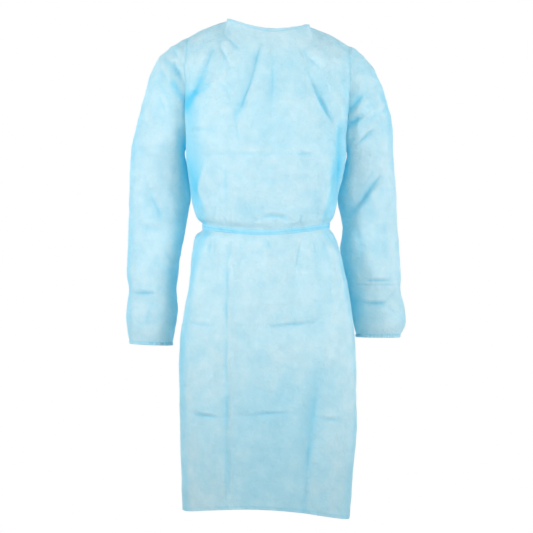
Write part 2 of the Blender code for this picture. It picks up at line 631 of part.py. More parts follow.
def make_panels(pieces, normals, cloth):
    """The front, the two backs and the sleeves, each short of its seams."""
    shoulders = np.r_[0 : SHOULDER_COLUMNS + 1, -SHOULDER_COLUMNS - 1 : 0]
    everything = np.s_[:]
    seams = {
        "front_panel": [("top", shoulders), ("left", everything), ("right", everything)],
        "back_panel_left": [("top", np.s_[: SHOULDER_COLUMNS + 1]), ("left", everything)],
        "back_panel_right": [("top", np.s_[-SHOULDER_COLUMNS - 1 :]), ("right", everything)],
        "sleeve_left": [("top", everything)],
        "sleeve_right": [("top", everything)],
    }
    mirrored = {
        "front_panel": range(FRONT_COLUMNS // 2, FRONT_COLUMNS),
        "back_panel_left": (),
        "back_panel_right": range(BACK_COLUMNS),
        "sleeve_left": range(armhole_rows(), 2 * armhole_rows()),
        "sleeve_right": range(armhole_rows(), 2 * armhole_rows()),
    }
    for name, piece in pieces.items():
        outer = trimmed(piece.grid, seams[name])
        inner = outer - normals[name] * CLOTH
        wall_between(name, outer, inner, cloth, piece.ring, mirrored[name])


def neck_edge(pieces, normals):
    """The neck edge once round, from the right back's corner to the left back's, with
    the skin's normals there and the way on past the edge."""
    stretches = []
    for name, columns in (
        ("back_panel_right", np.s_[: BACK_COLUMNS - SHOULDER_COLUMNS + 1]),
        ("front_panel", np.s_[SHOULDER_COLUMNS : FRONT_COLUMNS - SHOULDER_COLUMNS + 1]),
        ("back_panel_left", np.s_[SHOULDER_COLUMNS:]),
    ):
        edge, normal = pieces[name].grid[0][columns], normals[name][0][columns]
        onward = edge - pieces[name].grid[1][columns]
        onward -= (onward * normal).sum(axis=1, keepdims=True) * normal
        onward /= np.linalg.norm(onward, axis=1, keepdims=True)
        stretches.append((edge, normal, onward))
    found = []
    for right, front, left in zip(*stretches):
        corners = (right[-1:] + front[:1]) / 2, (front[-1:] + left[:1]) / 2
        found.append(np.concatenate([right[:-1], corners[0], front[1:-1], corners[1], left[1:]]))
    return found


def make_binding(pieces, normals, band):
    """The strip folded over the neck edge."""
    edge, normal, onward = neck_edge(pieces, normals)
    rows = np.array([BINDING_GAP, BINDING_HEIGHT / 2, BINDING_HEIGHT])
    grid = edge[None] + rows[::-1, None, None] * onward[None]
    normal = np.broadcast_to(normal, grid.shape)
    clear = -(CLOTH + BINDING_WALL) / 2
    sheet_wall("neck_binding", grid, normal, clear, BINDING_WALL, band)


def waist_loop(pieces, normals):
    """The body's points and normals under the belt, once round from the right back's
    side of the lap's edge: right back, front, left back."""
    rows = [row_of(name) for name in BELT_SECTIONS]
    left = pieces["back_panel_left"].grid[rows[0]]
    right = pieces["back_panel_right"].grid[rows[0]]
    clear_of_lap = right[:, 0] < left[-1, 0] - LAP_SPARE
    stretches = (
        ("back_panel_right", np.flatnonzero(clear_of_lap)[:-1]),
        ("front_panel", np.arange(FRONT_COLUMNS)),
        ("back_panel_left", np.arange(BACK_COLUMNS + 1)),
    )
    grid = np.concatenate([pieces[n].grid[rows][:, c] for n, c in stretches], axis=1)
    normal = np.concatenate([normals[n][rows][:, c] for n, c in stretches], axis=1)
    return grid, normal


def make_belt(pieces, normals, band):
    """The belt: a closed strip that ties the waist in."""
    grid, normal = waist_loop(pieces, normals)
    sheet_wall("waist_belt", grid, normal, BELT_CLEAR, BELT_WALL, band, ring=True)


def make_cuff(name, sleeve, band):
    """A gathered elastic band on a sleeve's last ring."""
    last, before = sleeve[-1], sleeve[-2]
    middle = last.mean(axis=0)
    down = middle - before.mean(axis=0)
    down /= np.linalg.norm(down)
    closed = np.concatenate([last, last[:1]])
    ring = even(closed, CUFF_COLUMNS)[:-1] - middle
    out = ring / np.linalg.norm(ring, axis=1, keepdims=True)
    wave = np.cos(np.arange(CUFF_COLUMNS) / CUFF_COLUMNS * 2 * pi * CUFF_GATHERS)
    rows = []
    for share in (0, 0.5, 1):
        depth = SEAM_GAP + share * CUFF_HEIGHT
        pull = CUFF_GATHER_DEPTH * wave[:, None] * share - (CUFF_WALL - CLOTH) / 2
        rows.append(middle + ring + out * pull + down * depth)
    grid = np.array(rows)
    out = np.broadcast_to(out, grid.shape)
    wall_between(name, grid + out * (CUFF_WALL - CLOTH), grid - out * CLOTH, band, True)


def point_on(piece_grid, piece_normals, x, z):
    """The point of a back panel's skin at this x and z, and the normal there."""
    found = []
    for values in (piece_grid, piece_normals):
        levels = np.array(
            [
                [np.interp(-x, -row[:, 0], own[:, k]) for k in (0, 1, 2)]
                for row, own in zip(piece_grid, values)
            ]
        )
        heights = [np.interp(-x, -row[:, 0], row[:, 2]) for row in piece_grid]
        found.append([np.interp(-z, -np.array(heights), levels[:, k]) for k in (0, 1, 2)])
    point, normal = np.array(found)
    return point, normal / np.linalg.norm(normal)


def make_tie(tie, grid, normals, band):
    """One free end of a tie, pinched where it leaves its knot, just clear of the back."""
    points, ways = [], []
    for share in np.linspace(0, 1, TIE_CELLS + 1):
        x, z = mix(tie.top_x, tie.foot_x, share), mix(tie.top_z, tie.foot_z, share)
        half = mix(TIE_PINCH, TIE_WIDTH, soft_step(share, 0, TIE_PINCHED)) / 2
        pair = [point_on(grid, normals, x + side * half, z) for side in (1, -1)]
        points.append([point for point, _ in pair])
        ways.append([way for _, way in pair])
    sheet_wall(tie.name, np.array(points), np.array(ways), TIE_CLEAR, TIE_WALL, band)


def make_knot(name, size, seat, band):
    """A rounded knot on the back. Its seat is the point of the band that it lies on."""
    shape = bmesh.new()
    place = Matrix.Translation(seat + np.array([0, size.y / 2 + SEAM_GAP, 0]))
    bmesh.ops.create_cube(shape, size=1, matrix=place @ Matrix.Diagonal((*size, 1)))
    bmesh.ops.bevel(
        shape, geom=shape.edges[:], offset=KNOT_ROUNDING, segments=3, profile=0.5, affect="EDGES"
    )
    mesh = bpy.data.meshes.new(name)
    shape.to_mesh(mesh)
    shape.free()
    placed(name, mesh, band)


def make_ties(pieces, normals, band):
    for tie in TIES:
        make_tie(tie, pieces[tie.panel].grid, normals[tie.panel], band)
    right, left = pieces["back_panel_right"].grid[0, 0], pieces["back_panel_left"].grid[0, -1]
    behind = max(right[1], left[1]) + BINDING_WALL / 2 + SEAM_GAP
    nape = np.array([0, behind, NECK_BACK.z + BINDING_HEIGHT / 4])
    make_knot("neck_knot", NECK_KNOT, nape, band)
    back, ways = pieces["back_panel_left"].grid, normals["back_panel_left"]
    loin, _ = point_on(back, ways, 0.0, WAIST_Z)
    make_knot("belt_knot", BELT_KNOT, loin + np.array([0, BELT_CLEAR + BELT_WALL, 0]), band)


def clear_scene():
    for thing in list(bpy.data.objects):
        bpy.data.objects.remove(thing, do_unlink=True)
    home = bpy.data.collections.new(COLLECTION)
    bpy.context.scene.collection.children.link(home)


def main():
    clear_scene()
    cloth = cloth_material("nonwoven_cloth", CLOTH_COLOUR, 0.75)
    band = cloth_material("nonwoven_band", BAND_COLOUR, 0.75)
    pieces, normals = skin()
    make_panels(pieces, normals, cloth)
    make_binding(pieces, normals, band)
    make_belt(pieces, normals, band)
    make_cuff("cuff_left", pieces["sleeve_left"].grid, band)
    make_cuff("cuff_right", pieces["sleeve_right"].grid, band)
    make_ties(pieces, normals, band)


main()
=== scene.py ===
"""The looks of the disposable procedure gown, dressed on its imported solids.

Metres, +Z up, the front faces -Y. Every cloth panel is a thin shell that follows the
sections, rings and folds its solid was made from, at a finer pitch, with the sharp
packing creases, the pulls at the belt and the seams that the solid leaves out.
"""

from collections import namedtuple
from math import cos, pi, radians, sin, tan

import bpy
import numpy as np
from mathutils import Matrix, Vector


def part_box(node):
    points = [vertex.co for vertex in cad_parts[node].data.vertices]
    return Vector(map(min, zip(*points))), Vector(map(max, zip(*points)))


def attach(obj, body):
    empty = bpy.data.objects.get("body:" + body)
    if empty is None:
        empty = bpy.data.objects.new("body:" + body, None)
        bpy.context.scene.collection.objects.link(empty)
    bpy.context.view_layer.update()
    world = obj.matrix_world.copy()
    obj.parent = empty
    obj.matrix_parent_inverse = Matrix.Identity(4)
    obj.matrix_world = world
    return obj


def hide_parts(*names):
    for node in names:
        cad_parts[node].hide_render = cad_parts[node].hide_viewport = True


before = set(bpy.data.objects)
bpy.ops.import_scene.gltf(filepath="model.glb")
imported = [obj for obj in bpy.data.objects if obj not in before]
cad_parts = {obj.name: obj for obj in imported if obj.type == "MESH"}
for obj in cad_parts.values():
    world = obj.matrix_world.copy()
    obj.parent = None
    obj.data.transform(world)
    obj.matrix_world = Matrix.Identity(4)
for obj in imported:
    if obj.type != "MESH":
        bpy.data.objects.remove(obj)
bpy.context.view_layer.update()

# ---------------------------------------------------------------- driving dimensions

SHELL = 0.0004  # thickness of one layer of cloth
BAND_SHELL = 0.0005  # and of one layer of the bands
SEAM_GAP = 0.0003  # clearance between two cut pieces

SHOULDER_COLUMNS = 40  # cells along each shoulder seam
NECK_COLUMNS = 88  # cells of the front panel along the neck edge
BACK_NECK_COLUMNS = 44  # cells of each back panel along it
SHOULDER_SHARE = 6 / 26  # share of the front panel's width that a shoulder seam takes
BACK_SHOULDER_SHARE = 6 / 13  # and of a back panel's width

LAP_LIFT = 0.0026  # how far the left back stands off the right one
LAP_SPARE = 0.010  # how far past the lap it still does
LAP_FADE = 0.040  # and over what width that ends
LAP_AT_NECK = -0.004  # half of the lap at the neck, where the backs stand apart
LAP_AT_HEM = 0.045  # half of the lap from the waist down

CREASE_GAIN = 2.0  # deepens all the sharp creases
CREASE_SWAY = 0.0012  # how far they wander from their line
SWAY_RUN, UNEVEN_RUN = 0.021, 0.017  # over what lengths they wander and fade
BELT_CLEAR = 0.0006  # least clearance under the belt

SEAM_ALLOWANCE = 0.007  # turned back inside the seams, where the cloth looks fuller
STITCHING = 0.0016  # width of the marks of the seams
HEM_HEIGHT = 0.0068
HEM_STITCHING = 0.0013


def rows_in_mm(kind, plain, rows):
    """Named rows from rows in millimetres. The plain columns aren't lengths."""
    is_plain = [name in plain.split() for name in kind._fields]
    return [
        kind(*[value if plain_one else value / 1000 for value, plain_one in zip(row, is_plain)])
        for row in rows
    ]


# ---------------------------------------------------------------- shoulders and neck

Point = namedtuple("Point", "x y z")

LEFT_SHOULDER = Point(0.186, 0.004, -0.002)
RIGHT_SHOULDER = Point(-0.183, 0.004, 0.016)
LEFT_NECK = Point(0.097, 0.002, 0.043)
RIGHT_NECK = Point(-0.092, 0.002, 0.056)
NECK_FRONT = Point(0.0, -0.085, 0.021)
NECK_BACK = Point(0.0, 0.066, 0.034)
NECK_SCOOP = 1.7  # how square the neck edge is, as a power
SHOULDER_CROWN = 0.004  # how far a shoulder seam arches up

# ---------------------------------------------------------------- body sections

# The solids' sections. cells is the number of fine cell rows down to the next section,
# and focus where in that stretch they lie closer together, from 0 to 1, or None.
Section = namedtuple(
    "Section",
    "name right_x left_x right_z mid_z left_z"
    " side_front_y side_back_y front_y back_y wrap tuck square cells focus",
)

TOP_CELLS = 13  # rows between the shoulder seams and the first section

SECTIONS = rows_in_mm(Section, "name wrap tuck square cells focus", [
    ("yoke", -184, 187, -36, -20, -46, -44, 48, -99, 86, 0.4, 0, 2.0, 15, None),
    ("upper chest", -186, 187, -86, -78, -93, -50, 56, -116, 104, 0.7, 0, 2.1, 15, None),
    ("chest", -187, 185, -139, -137, -143, -46, 54, -128, 115, 1, 0, 2.2, 13, None),
    ("armpit", -187, 182, -187, -188, -190, -32, 44, -134, 120, 1, 0.03, 2.3, 12, None),
    ("underarm", -186, 179, -230, -233, -234, 8, 8, -137, 120, 1, 0.11, 2.4, 12, 0.88),
    ("bust", -185, 178, -262, -262, -262, 2, 2, -138, 120, 1, 0.11, 2.4, 11, None),
    ("ribs", -180, 172, -302, -302, -302, -6, -6, -135, 116, 1, 0.06, 2.4, 11, None),
    ("midriff", -175, 162, -346, -346, -346, -10, -10, -129, 109, 1, 0, 2.3, 9, None),
    ("blouse", -168, 155, -379, -382, -379, -10, -10, -124, 103, 1, 0, 2.3, 9, None),
    ("overhang", -159, 148, -400, -410, -398, -10, -10, -118, 97, 1, 0, 2.3, 8, None),
    ("belt top", -148, 141, -411, -425, -408, -10, -10, -107, 90, 1, 0, 2.3, 6, None),
    ("belt foot", -148, 141, -424, -438, -421, -10, -10, -107, 90, 1, 0, 2.3, 6, None),
    ("gather", -162, 151, -435, -449, -434, -10, -10, -114, 98, 1, 0, 2.3, 8, None),
    ("high hip", -171, 164, -470, -474, -468, -10, -10, -119, 107, 1, 0, 2.4, 13, None),
    ("hip", -177, 178, -528, -528, -528, -10, -10, -126, 121, 1, 0, 2.6, 17, 0.85),
    ("seat", -188, 191, -601, -601, -601, -10, -10, -131, 129, 1, 0, 2.7, 24, 0.40),
    ("thigh", -201, 201, -690, -690, -690, -10, -10, -134, 133, 1, 0, 2.8, 20, None),
    ("lower thigh", -201, 202, -790, -788, -790, -10, -10, -133, 134, 1, 0, 2.8, 22, 0.62),
    ("above knee", -199, 204, -872, -868, -874, -10, -10, -131, 134, 1, 0, 2.8, 18, None),
    ("knee", -197, 196, -970, -962, -976, -10, -10, -128, 132, 1, 0, 2.8, 22, 0.93),
    ("hem", -194, 187, -1062, -1050, -1081, -10, -10, -126, 130, 1, 0, 2.8, 0, None),
])

ARMHOLE_SECTIONS = 5  # as many of them meet the armholes
WAIST_Z = -0.4315

# ---------------------------------------------------------------- sleeve sections

# The solids' rings. cells and focus as for the sections.
Ring = namedtuple("Ring", "name outer_x outer_z inner_x inner_z mid_y deep cells focus")

ARMHOLE_CELLS = 5  # rows between the armhole and the first ring
EVEN_RING = 5  # from this ring down, the points lie evenly round the arm

LEFT_SLEEVE = rows_in_mm(Ring, "name cells focus", [
    ("cap", 207, -12, 181, -243, 8, 60, 8, None),
    ("cap crown", 232, -36, 183, -248, 12, 68, 9, None),
    ("deltoid", 255, -70, 183, -256, 17, 74, 11, None),
    ("upper arm", 272, -116, 181, -268, 24, 76, 13, None),
    ("biceps", 287, -170, 178, -284, 31, 73, 16, None),
    ("mid arm", 290, -241, 173, -308, 37, 69, 18, None),
    ("above elbow", 298, -325, 163, -350, 42, 66, 18, 0.12),
    ("elbow", 300, -402, 174, -412, 43, 64, 17, None),
    ("forearm", 307, -478, 169, -478, 43, 62, 14, None),
    ("mid forearm", 310, -530, 180, -530, 42, 60, 13, 0.65),
    ("nip", 309, -561, 187, -561, 41, 56, 17, 0.55),
    ("lower bulge", 320, -618, 196, -616, 38, 58, 9, None),
    ("above cuff", 317, -650, 201, -648, 36, 52, 6, None),
    ("cuff seam", 308, -664, 205, -663, 35, 45, 0, None),
])

RIGHT_SLEEVE = rows_in_mm(Ring, "name cells focus", [
    ("cap", -208, 5, -188, -239, 8, 60, 8, None),
    ("cap crown", -242, -20, -190, -244, 12, 68, 9, None),
    ("deltoid", -267, -58, -190, -252, 17, 74, 12, None),
    ("upper arm", -284, -116, -188, -264, 24, 76, 14, None),
    ("biceps", -303, -180, -184, -281, 30, 73, 16, None),
    ("mid arm", -315, -245, -180, -308, 34, 69, 18, None),
    ("above elbow", -319, -330, -177, -347, 37, 66, 17, None),
    ("elbow", -321, -410, -187, -410, 38, 64, 17, None),
    ("forearm", -325, -490, -201, -488, 36, 60, 12, None),
    ("mid forearm", -326, -528, -206, -528, 33, 57, 9, None),
    ("nip", -320, -556, -210, -558, 31, 53, 17, 0.3),
    ("lower bulge", -326, -612, -206, -610, 29, 56, 12, 0.5),
    ("above cuff", -324, -658, -214, -658, 27, 51, 7, None),
    ("cuff seam", -319, -678, -219, -682, 26, 44, 0, None),
])

# ---------------------------------------------------------------- folds and creases

# One row for each fold: its path by three points as seen from the front, its width, how
# far it pushes the cloth out (a trough when negative), and the share of that by which
# the cloth swells the other way beside it, on its left (+) or on its right (-).
Fold = namedtuple("Fold", "face x0 z0 x1 z1 x2 z2 width depth lip")


def folds_on(face, rows):
    return rows_in_mm(Fold, "face lip", [(face, *row) for row in rows])


# The large folds, which the solids have too
FOLDS = [
    *folds_on("front", [
        # from the neck and the shoulders down over the chest
        (-15, -15, -44, -105, -68, -200, 19, -7.5, 0.5),
        (12, -30, 11, -110, 8, -200, 22, -4, -0.4),
        (88, -60, 124, -140, 156, -225, 18, -7.5, -0.5),
        (158, -200, 161, -285, 148, -390, 16, -6.5, 0.4),
        (66, 0, 100, -48, 142, -105, 18, -4, 0.3),
        (-112, -5, -144, -70, -166, -140, 18, -5.5, -0.4),
        # blousing over the belt
        (-128, -330, -124, -375, -112, -424, 17, -5.5, 0.5),
        (-46, -355, -44, -390, -36, -424, 18, -4.5, 0.5),
        (44, -360, 40, -395, 38, -424, 16, -4, 0.5),
        (108, -335, 112, -380, 104, -424, 18, -5.5, 0.5),
        # gathers that hang from the belt
        (-112, -440, -124, -480, -136, -535, 16, -6, 0.5),
        (-78, -440, -86, -500, -92, -590, 18, -6.5, 0.5),
        (76, -440, 68, -500, 58, -580, 18, -5.5, -0.4),
        (134, -440, 152, -540, 144, -680, 17, 5.5, -0.5),
        # soft hollows and a packing crease down the skirt
        (-92, -540, -95, -800, -98, -1100, 20, 4.5, -0.5),
        (124, -600, 106, -810, 74, -1100, 24, -8.5, 0.4),
        (-10, -650, 55, -640, 120, -650, 18, -4, 0.4),
    ]),
    *folds_on("back", [
        # back: from the neck, over the belt and down the skirt
        (-50, -20, -75, -110, -120, -220, 22, -6.5, -0.4),
        (58, -20, 80, -110, 120, -215, 22, -6, 0.4),
        (-112, -310, -100, -370, -90, -420, 19, -6, 0.4),
        (116, -300, 104, -370, 92, -420, 19, -5.5, -0.4),
        (-92, -440, -104, -540, -112, -680, 21, -6.5, 0.4),
        (96, -440, 114, -560, 126, -720, 21, -6.5, -0.4),
        (-132, -660, -126, -880, -116, -1100, 26, -8, 0.3),
        (112, -700, 108, -880, 100, -1100, 24, -7, -0.3),
    ]),
    *folds_on("front", [
        # wearer's left sleeve
        (262, -155, 226, -182, 190, -200, 17, 5, 0.5),
        (268, -290, 230, -340, 184, -392, 17, -7.5, 0.5),
    ]),
    *folds_on("back", [
        (200, -300, 240, -270, 280, -225, 18, -6, 0.4),
        (182, -440, 240, -456, 290, -430, 18, -5.5, 0.4),
    ]),
    *folds_on("front", [
        # wearer's right sleeve
        (-232, -30, -206, -66, -186, -112, 16, -6, 0.5),
        (-300, -330, -256, -372, -206, -400, 18, -4.5, -0.4),
    ]),
    *folds_on("back", [
        (-200, -290, -248, -262, -296, -215, 18, -5.5, -0.4),
        (-204, -430, -256, -448, -304, -424, 18, -5.5, -0.4),
    ]),
]

# The sharp creases and fine wrinkles, which only the looks have
CREASES = [
    *folds_on("front", [
        # bodice, down from the neck
        (-13, -6, -38, -92, -68, -182, 5, -3, 0.5),
        (-66, -152, -70, -187, -66, -232, 4.5, -2.2, -0.5),
        (12, -35, 11, -100, 10, -168, 7, -1.6, 0.5),
        (34, -60, 35, -100, 34, -138, 6, 1, 0.0),
        (86, -70, 121, -138, 151, -192, 5, -3, -0.5),
        (149, -180, 152, -270, 148, -366, 5, 2.6, -0.4),
        (161, -186, 162, -270, 154, -360, 6, -2.4, 0.3),
        (-103, -94, -90, -116, -78, -137, 4.5, -1.4, 0.4),
        (-99, 16, -80, -4, -60, -25, 4.2, -2.2, 0.6),
        (-88, 22, -71, 2, -52, -16, 4, -1.8, 0.6),
        (-119, 11, -104, -4, -88, -20, 4.2, -1.6, 0.6),
        (-112, -6, -101, -28, -91, -48, 4.2, -1.8, 0.5),
        (-97, -26, -88, -53, -79, -89, 4.5, -1.6, 0.5),
        (64, -5, 99, -44, 136, -84, 6, -1.4, 0.4),
        (-117, -10, -146, -70, -169, -130, 6, -2.8, -0.4),
        (-121, -262, -145, -305, -154, -380, 5, 2.4, -0.5),
        (-112, -270, -120, -320, -122, -370, 6, 1, 0.4),
        (-100, -275, -104, -320, -104, -390, 5, 1.2, 0.4),
        (-88, -268, -92, -310, -92, -380, 5, -1, 0.4),
        # bodice, packing creases across it
        (-156, -257, -40, -259, 106, -257, 4.2, -1.2, 0.6),
        (66, -256, 88, -258, 110, -258, 3.6, -1.8, 0.6),
        (-120, -142, -70, -146, -10, -143, 5, -0.6, 0.6),
        (-172, -205, -142, -203, -112, -207, 5, -1.3, 0.6),
        (-176, -217, -160, -219, -146, -218, 3.5, -1.4, 0.6),
        (-176, -232, -162, -233, -150, -232, 3.5, -1.2, 0.6),
        (-60, -314, 0, -318, 70, -312, 6, -0.8, 0.6),
        # blousing over the belt
        (-42, -413, 4, -397, 56, -409, 5, -2.4, 0.6),
        (-81, -386, -81, -404, -80, -426, 3.5, -2, 0.6),
        (-98, -392, -94, -408, -90, -426, 4.5, -1.6, 0.5),
        (20, -396, 17, -410, 14, -426, 4, -1.4, 0.5),
        (78, -388, 74, -406, 70, -426, 4.5, -1.8, 0.5),
        (132, -378, 128, -400, 121, -424, 4.5, -2, 0.5),
        # gathers and creases below the belt
        (-112, -436, -117, -452, -122, -470, 4, -1.8, 0.5),
        (-124, -446, -129, -464, -134, -484, 4, -1.6, 0.5),
        (-80, -440, -83, -468, -91, -500, 4.2, -2.6, 0.5),
        (-62, -440, -62, -456, -64, -474, 4.5, -1.2, 0.5),
        (0, -442, 2, -458, 3, -476, 5, -1, 0.5),
        (76, -440, 70, -478, 62, -518, 4.5, -1.8, -0.5),
        (106, -438, 108, -456, 108, -476, 4.2, -1.4, 0.5),
        (122, -436, 127, -456, 132, -484, 4.5, -1.6, -0.5),
        (134, -444, 153, -540, 143, -655, 5, 1.8, -0.5),
        # the long packing creases down the skirt
        (-80, -452, -82, -700, -80, -1120, 4.5, 2.4, -0.8),
        (112, -760, 96, -900, 74, -1110, 6, -1.8, 0.5),
        # the packing creases across the skirt
        (-26, -589, 24, -591, 78, -589, 4.5, 1, 0.5),
        (-180, -632, -145, -637, -104, -640, 3.8, -1.8, 0.6),
        (-80, -637, -63, -638, -48, -638, 3.8, -1.2, 0.6),
        (-10, -644, 48, -640, 106, -632, 3.8, -1.3, 0.6),
        (48, -639, 80, -636, 112, -631, 3.8, -1.2, 0.6),
        (138, -648, 165, -649, 192, -650, 3.8, -1.4, 0.6),
        (-168, -838, -140, -842, -106, -842, 4.2, -2, 0.6),
        (-84, -840, -10, -837, 76, -835, 4.2, -1.6, 0.6),
        (100, -842, 132, -848, 164, -853, 4.2, -2, 0.6),
        # wearer's left sleeve
        (199, -232, 222, -216, 246, -197, 4.5, -2.6, 0.6),
        (215, -176, 246, -154, 274, -133, 5, 2.6, -0.7),
        (182, -160, 204, -134, 228, -108, 6, -2.6, 0.5),
        (180, -190, 200, -176, 222, -161, 5.5, -2.4, 0.5),
        (262, -196, 266, -250, 256, -305, 10, 1.8, 0.0),
        (264, -296, 228, -342, 188, -386, 4.8, -3.6, 0.6),
        (246, -288, 230, -310, 206, -336, 4.5, -1.4, 0.5),
        (236, -335, 266, -334, 297, -335, 4, -1.6, 0.5),
        (206, -544, 256, -541, 302, -540, 3.8, -2.6, 0.6),
        (206, -553, 256, -551, 302, -550, 3.4, -1.8, 0.6),
        (202, -588, 238, -591, 276, -589, 4.2, -3, 0.6),
        (273, -584, 284, -573, 295, -560, 3.8, -2.2, 0.5),
        (273, -598, 286, -607, 300, -616, 3.8, -2, 0.5),
        (206, -420, 212, -470, 216, -530, 7, -1.4, 0.4),
        (262, -400, 270, -440, 274, -500, 6, -1, 0.4),
        (244, -60, 226, -92, 198, -130, 7, -1.2, 0.4),
        # wearer's right sleeve
        (-225, -32, -204, -66, -180, -112, 5.5, -2.6, 0.5),
        (-216, -10, -204, -30, -190, -48, 5, -1.8, 0.5),
        (-251, -44, -240, -64, -228, -85, 4.2, -2.4, 0.6),
        (-238, -28, -228, -41, -216, -53, 4.2, -1.8, 0.6),
        (-246, -92, -229, -121, -210, -152, 5.5, -2, 0.6),
        (-254, -110, -242, -135, -232, -162, 4.5, -1.6, 0.6),
        (-262, -200, -258, -250, -262, -300, 9, 1.6, 0.0),
        (-270, -328, -254, -330, -234, -330, 4, 2, -0.7),
        (-268, -342, -252, -372, -240, -408, 5.5, -1.8, 0.5),
        (-234, -470, -226, -484, -217, -498, 4.5, -1.6, 0.5),
        (-240, -500, -229, -511, -218, -520, 4.5, -1.4, 0.5),
        (-308, -571, -284, -570, -252, -569, 3.8, -2.6, 0.6),
        (-280, -645, -271, -614, -262, -583, 3.8, -2, 0.5),
        (-296, -238, -262, -262, -222, -276, 6, -1.2, 0.5),
        (-306, -402, -270, -420, -228, -424, 5.5, -1.2, 0.5),
        (-300, -460, -276, -480, -248, -492, 5.5, -1, 0.5),
    ]),
    *folds_on("back", [
        # back: packing creases, pulls at the belt and wrinkles
        (-170, -257, -20, -259, 160, -257, 4.2, -1.4, 0.6),
        (-170, -638, 0, -637, 170, -636, 4.2, -2, 0.6),
        (-176, -840, 0, -841, 176, -842, 4.2, -1.8, 0.6),
        (88, -450, 90, -700, 94, -1110, 4.5, 2, -0.6),
        (-96, -60, -92, -200, -90, -390, 5, 1.2, -0.5),
        (-126, -384, -120, -402, -114, -424, 4.5, -2.2, 0.5),
        (-62, -380, -60, -402, -56, -424, 4.5, -2.2, 0.5),
        (-30, -392, -30, -406, -28, -424, 4, -1.6, 0.5),
        (58, -384, 54, -402, 50, -424, 4.5, -2.2, 0.5),
        (124, -384, 120, -402, 112, -424, 4.5, -2.2, 0.5),
        (-122, -438, -128, -470, -136, -510, 4.5, -2.2, 0.5),
        (-64, -438, -68, -466, -72, -500, 4.5, -2.4, 0.5),
        (-40, -438, -41, -456, -42, -478, 4.2, -1.6, 0.5),
        (62, -438, 66, -470, 72, -506, 4.5, -2.4, 0.5),
        (118, -438, 126, -470, 134, -512, 4.5, -2.2, 0.5),
        (236, -120, 220, -150, 196, -180, 7, -1.6, 0.5),
        (-236, -110, -222, -146, -200, -180, 7, -1.6, 0.5),
        (194, -545, 250, -552, 300, -544, 4.5, -1.8, 0.5),
        (-214, -560, -262, -566, -306, -558, 4.5, -1.8, 0.5),
    ]),
]

# How much painted shade the cloth gets where it turns away at the sides, next to the sleeves and
# down the skirt, and over which shares of the half width this sets in.
Shade = namedtuple("Shade", "z right_full right_from right_to left_full left_from left_to")

BODY_PAINTED_SHADES = rows_in_mm(Shade, " ".join(Shade._fields[1:]), [
    (0, 0.06, 0.70, 1.00, 0.04, 0.80, 1.00),
    (-70, 0.06, 0.70, 1.00, 0.12, 0.78, 0.95),
    (-104, 0.26, 0.62, 0.72, 0.16, 0.80, 0.95),
    (-126, 0.72, 0.80, 0.97, 0.26, 0.88, 1.00),
    (-152, 0.72, 0.82, 0.97, 0.28, 0.88, 1.00),
    (-171, 0.45, 0.80, 0.95, 0.28, 0.86, 1.00),
    (-205, 0.46, 0.74, 1.00, 0.36, 0.79, 0.90),
    (-248, 0.58, 0.64, 1.00, 0.44, 0.78, 0.90),
    (-293, 0.86, 0.76, 0.96, 0.58, 0.80, 0.90),
    (-336, 0.80, 0.86, 0.90, 0.52, 0.85, 0.90),
    (-382, 0.45, 0.80, 0.88, 0.42, 0.80, 0.88),
    (-460, 0.48, 0.82, 0.96, 0.26, 0.86, 1.00),
    (-530, 0.42, 0.85, 0.97, 0.36, 0.90, 0.98),
    (-585, 0.28, 0.88, 0.97, 0.28, 0.90, 0.98),
    (-700, 0.44, 0.87, 0.98, 0.12, 0.92, 1.00),
    (-790, 0.38, 0.87, 0.98, 0.10, 0.92, 1.00),
    (-870, 0.24, 0.87, 0.98, 0.26, 0.87, 1.00),
    (-1081, 0.28, 0.84, 0.98, 0.28, 0.84, 1.00),
])

# The same painted shade for the sleeves: on the side that faces the body, and in a narrow strip
# on the outer side
SleeveShade = namedtuple("SleeveShade", "z full start outer")

RIGHT_SLEEVE_PAINTED_SHADES = rows_in_mm(SleeveShade, "full start outer", [
    (20, 0.05, 0.20, 0.04),
    (-70, 0.50, 0.30, 0.05),
    (-130, 1.15, 0.15, 0.14),
    (-170, 1.05, 0.30, 0.22),
    (-210, 1.10, 0.50, 0.25),
    (-300, 1.00, 0.50, 0.25),
    (-340, 0.60, 0.40, 0.25),
    (-450, 0.55, 0.45, 0.22),
    (-580, 0.50, 0.40, 0.34),
    (-690, 0.25, 0.30, 0.20),
])
LEFT_SLEEVE_PAINTED_SHADES = rows_in_mm(SleeveShade, "full start outer", [
    (20, 0.04, 0.40, 0.05),
    (-100, 0.35, 0.20, 0.10),
    (-140, 0.40, 0.30, 0.24),
    (-180, 0.65, 0.60, 0.26),
    (-250, 0.80, 0.60, 0.16),
    (-320, 0.80, 0.60, 0.06),
    (-380, 0.60, 0.30, 0.06),
    (-450, 0.55, 0.25, 0.06),
    (-580, 0.60, 0.25, 0.04),
    (-690, 0.30, 0.20, 0.04),
])

# Painted shade along a line: in the hollows next to the armpits, where light goes back and forth
# between two layers, and broad painted shade under the neck, down the chest and at the foot of
# the skirt
Hollow = namedtuple("Hollow", "piece x0 z0 x1 z1 width full")

PAINTED_HOLLOW_SHADES = rows_in_mm(Hollow, "piece full", [
    ("sleeve_right", -213, -94, -184, -142, 7.5, 0.50),
    ("front_panel", -140, -70, -178, -140, 7, 0.22),
    ("front_panel", -163, -120, -184, -150, 8, 0.22),
    ("front_panel", 0, -100, 10, -190, 55, 0.13),
    ("front_panel", -40, -30, 50, -45, 35, 0.12),
    ("front_panel", 0, -860, 10, -1100, 110, 0.20),
    ("sleeve_left", 190, -150, 205, -125, 8, 0.30),
    ("sleeve_left", 184, -190, 204, -176, 7.5, 0.30),
    ("sleeve_left", 196, -385, 228, -352, 8, 0.22),
    ("back_panel_left", 140, -70, 178, -140, 9, 0.30),
    ("back_panel_right", -140, -70, -178, -140, 9, 0.30),
])

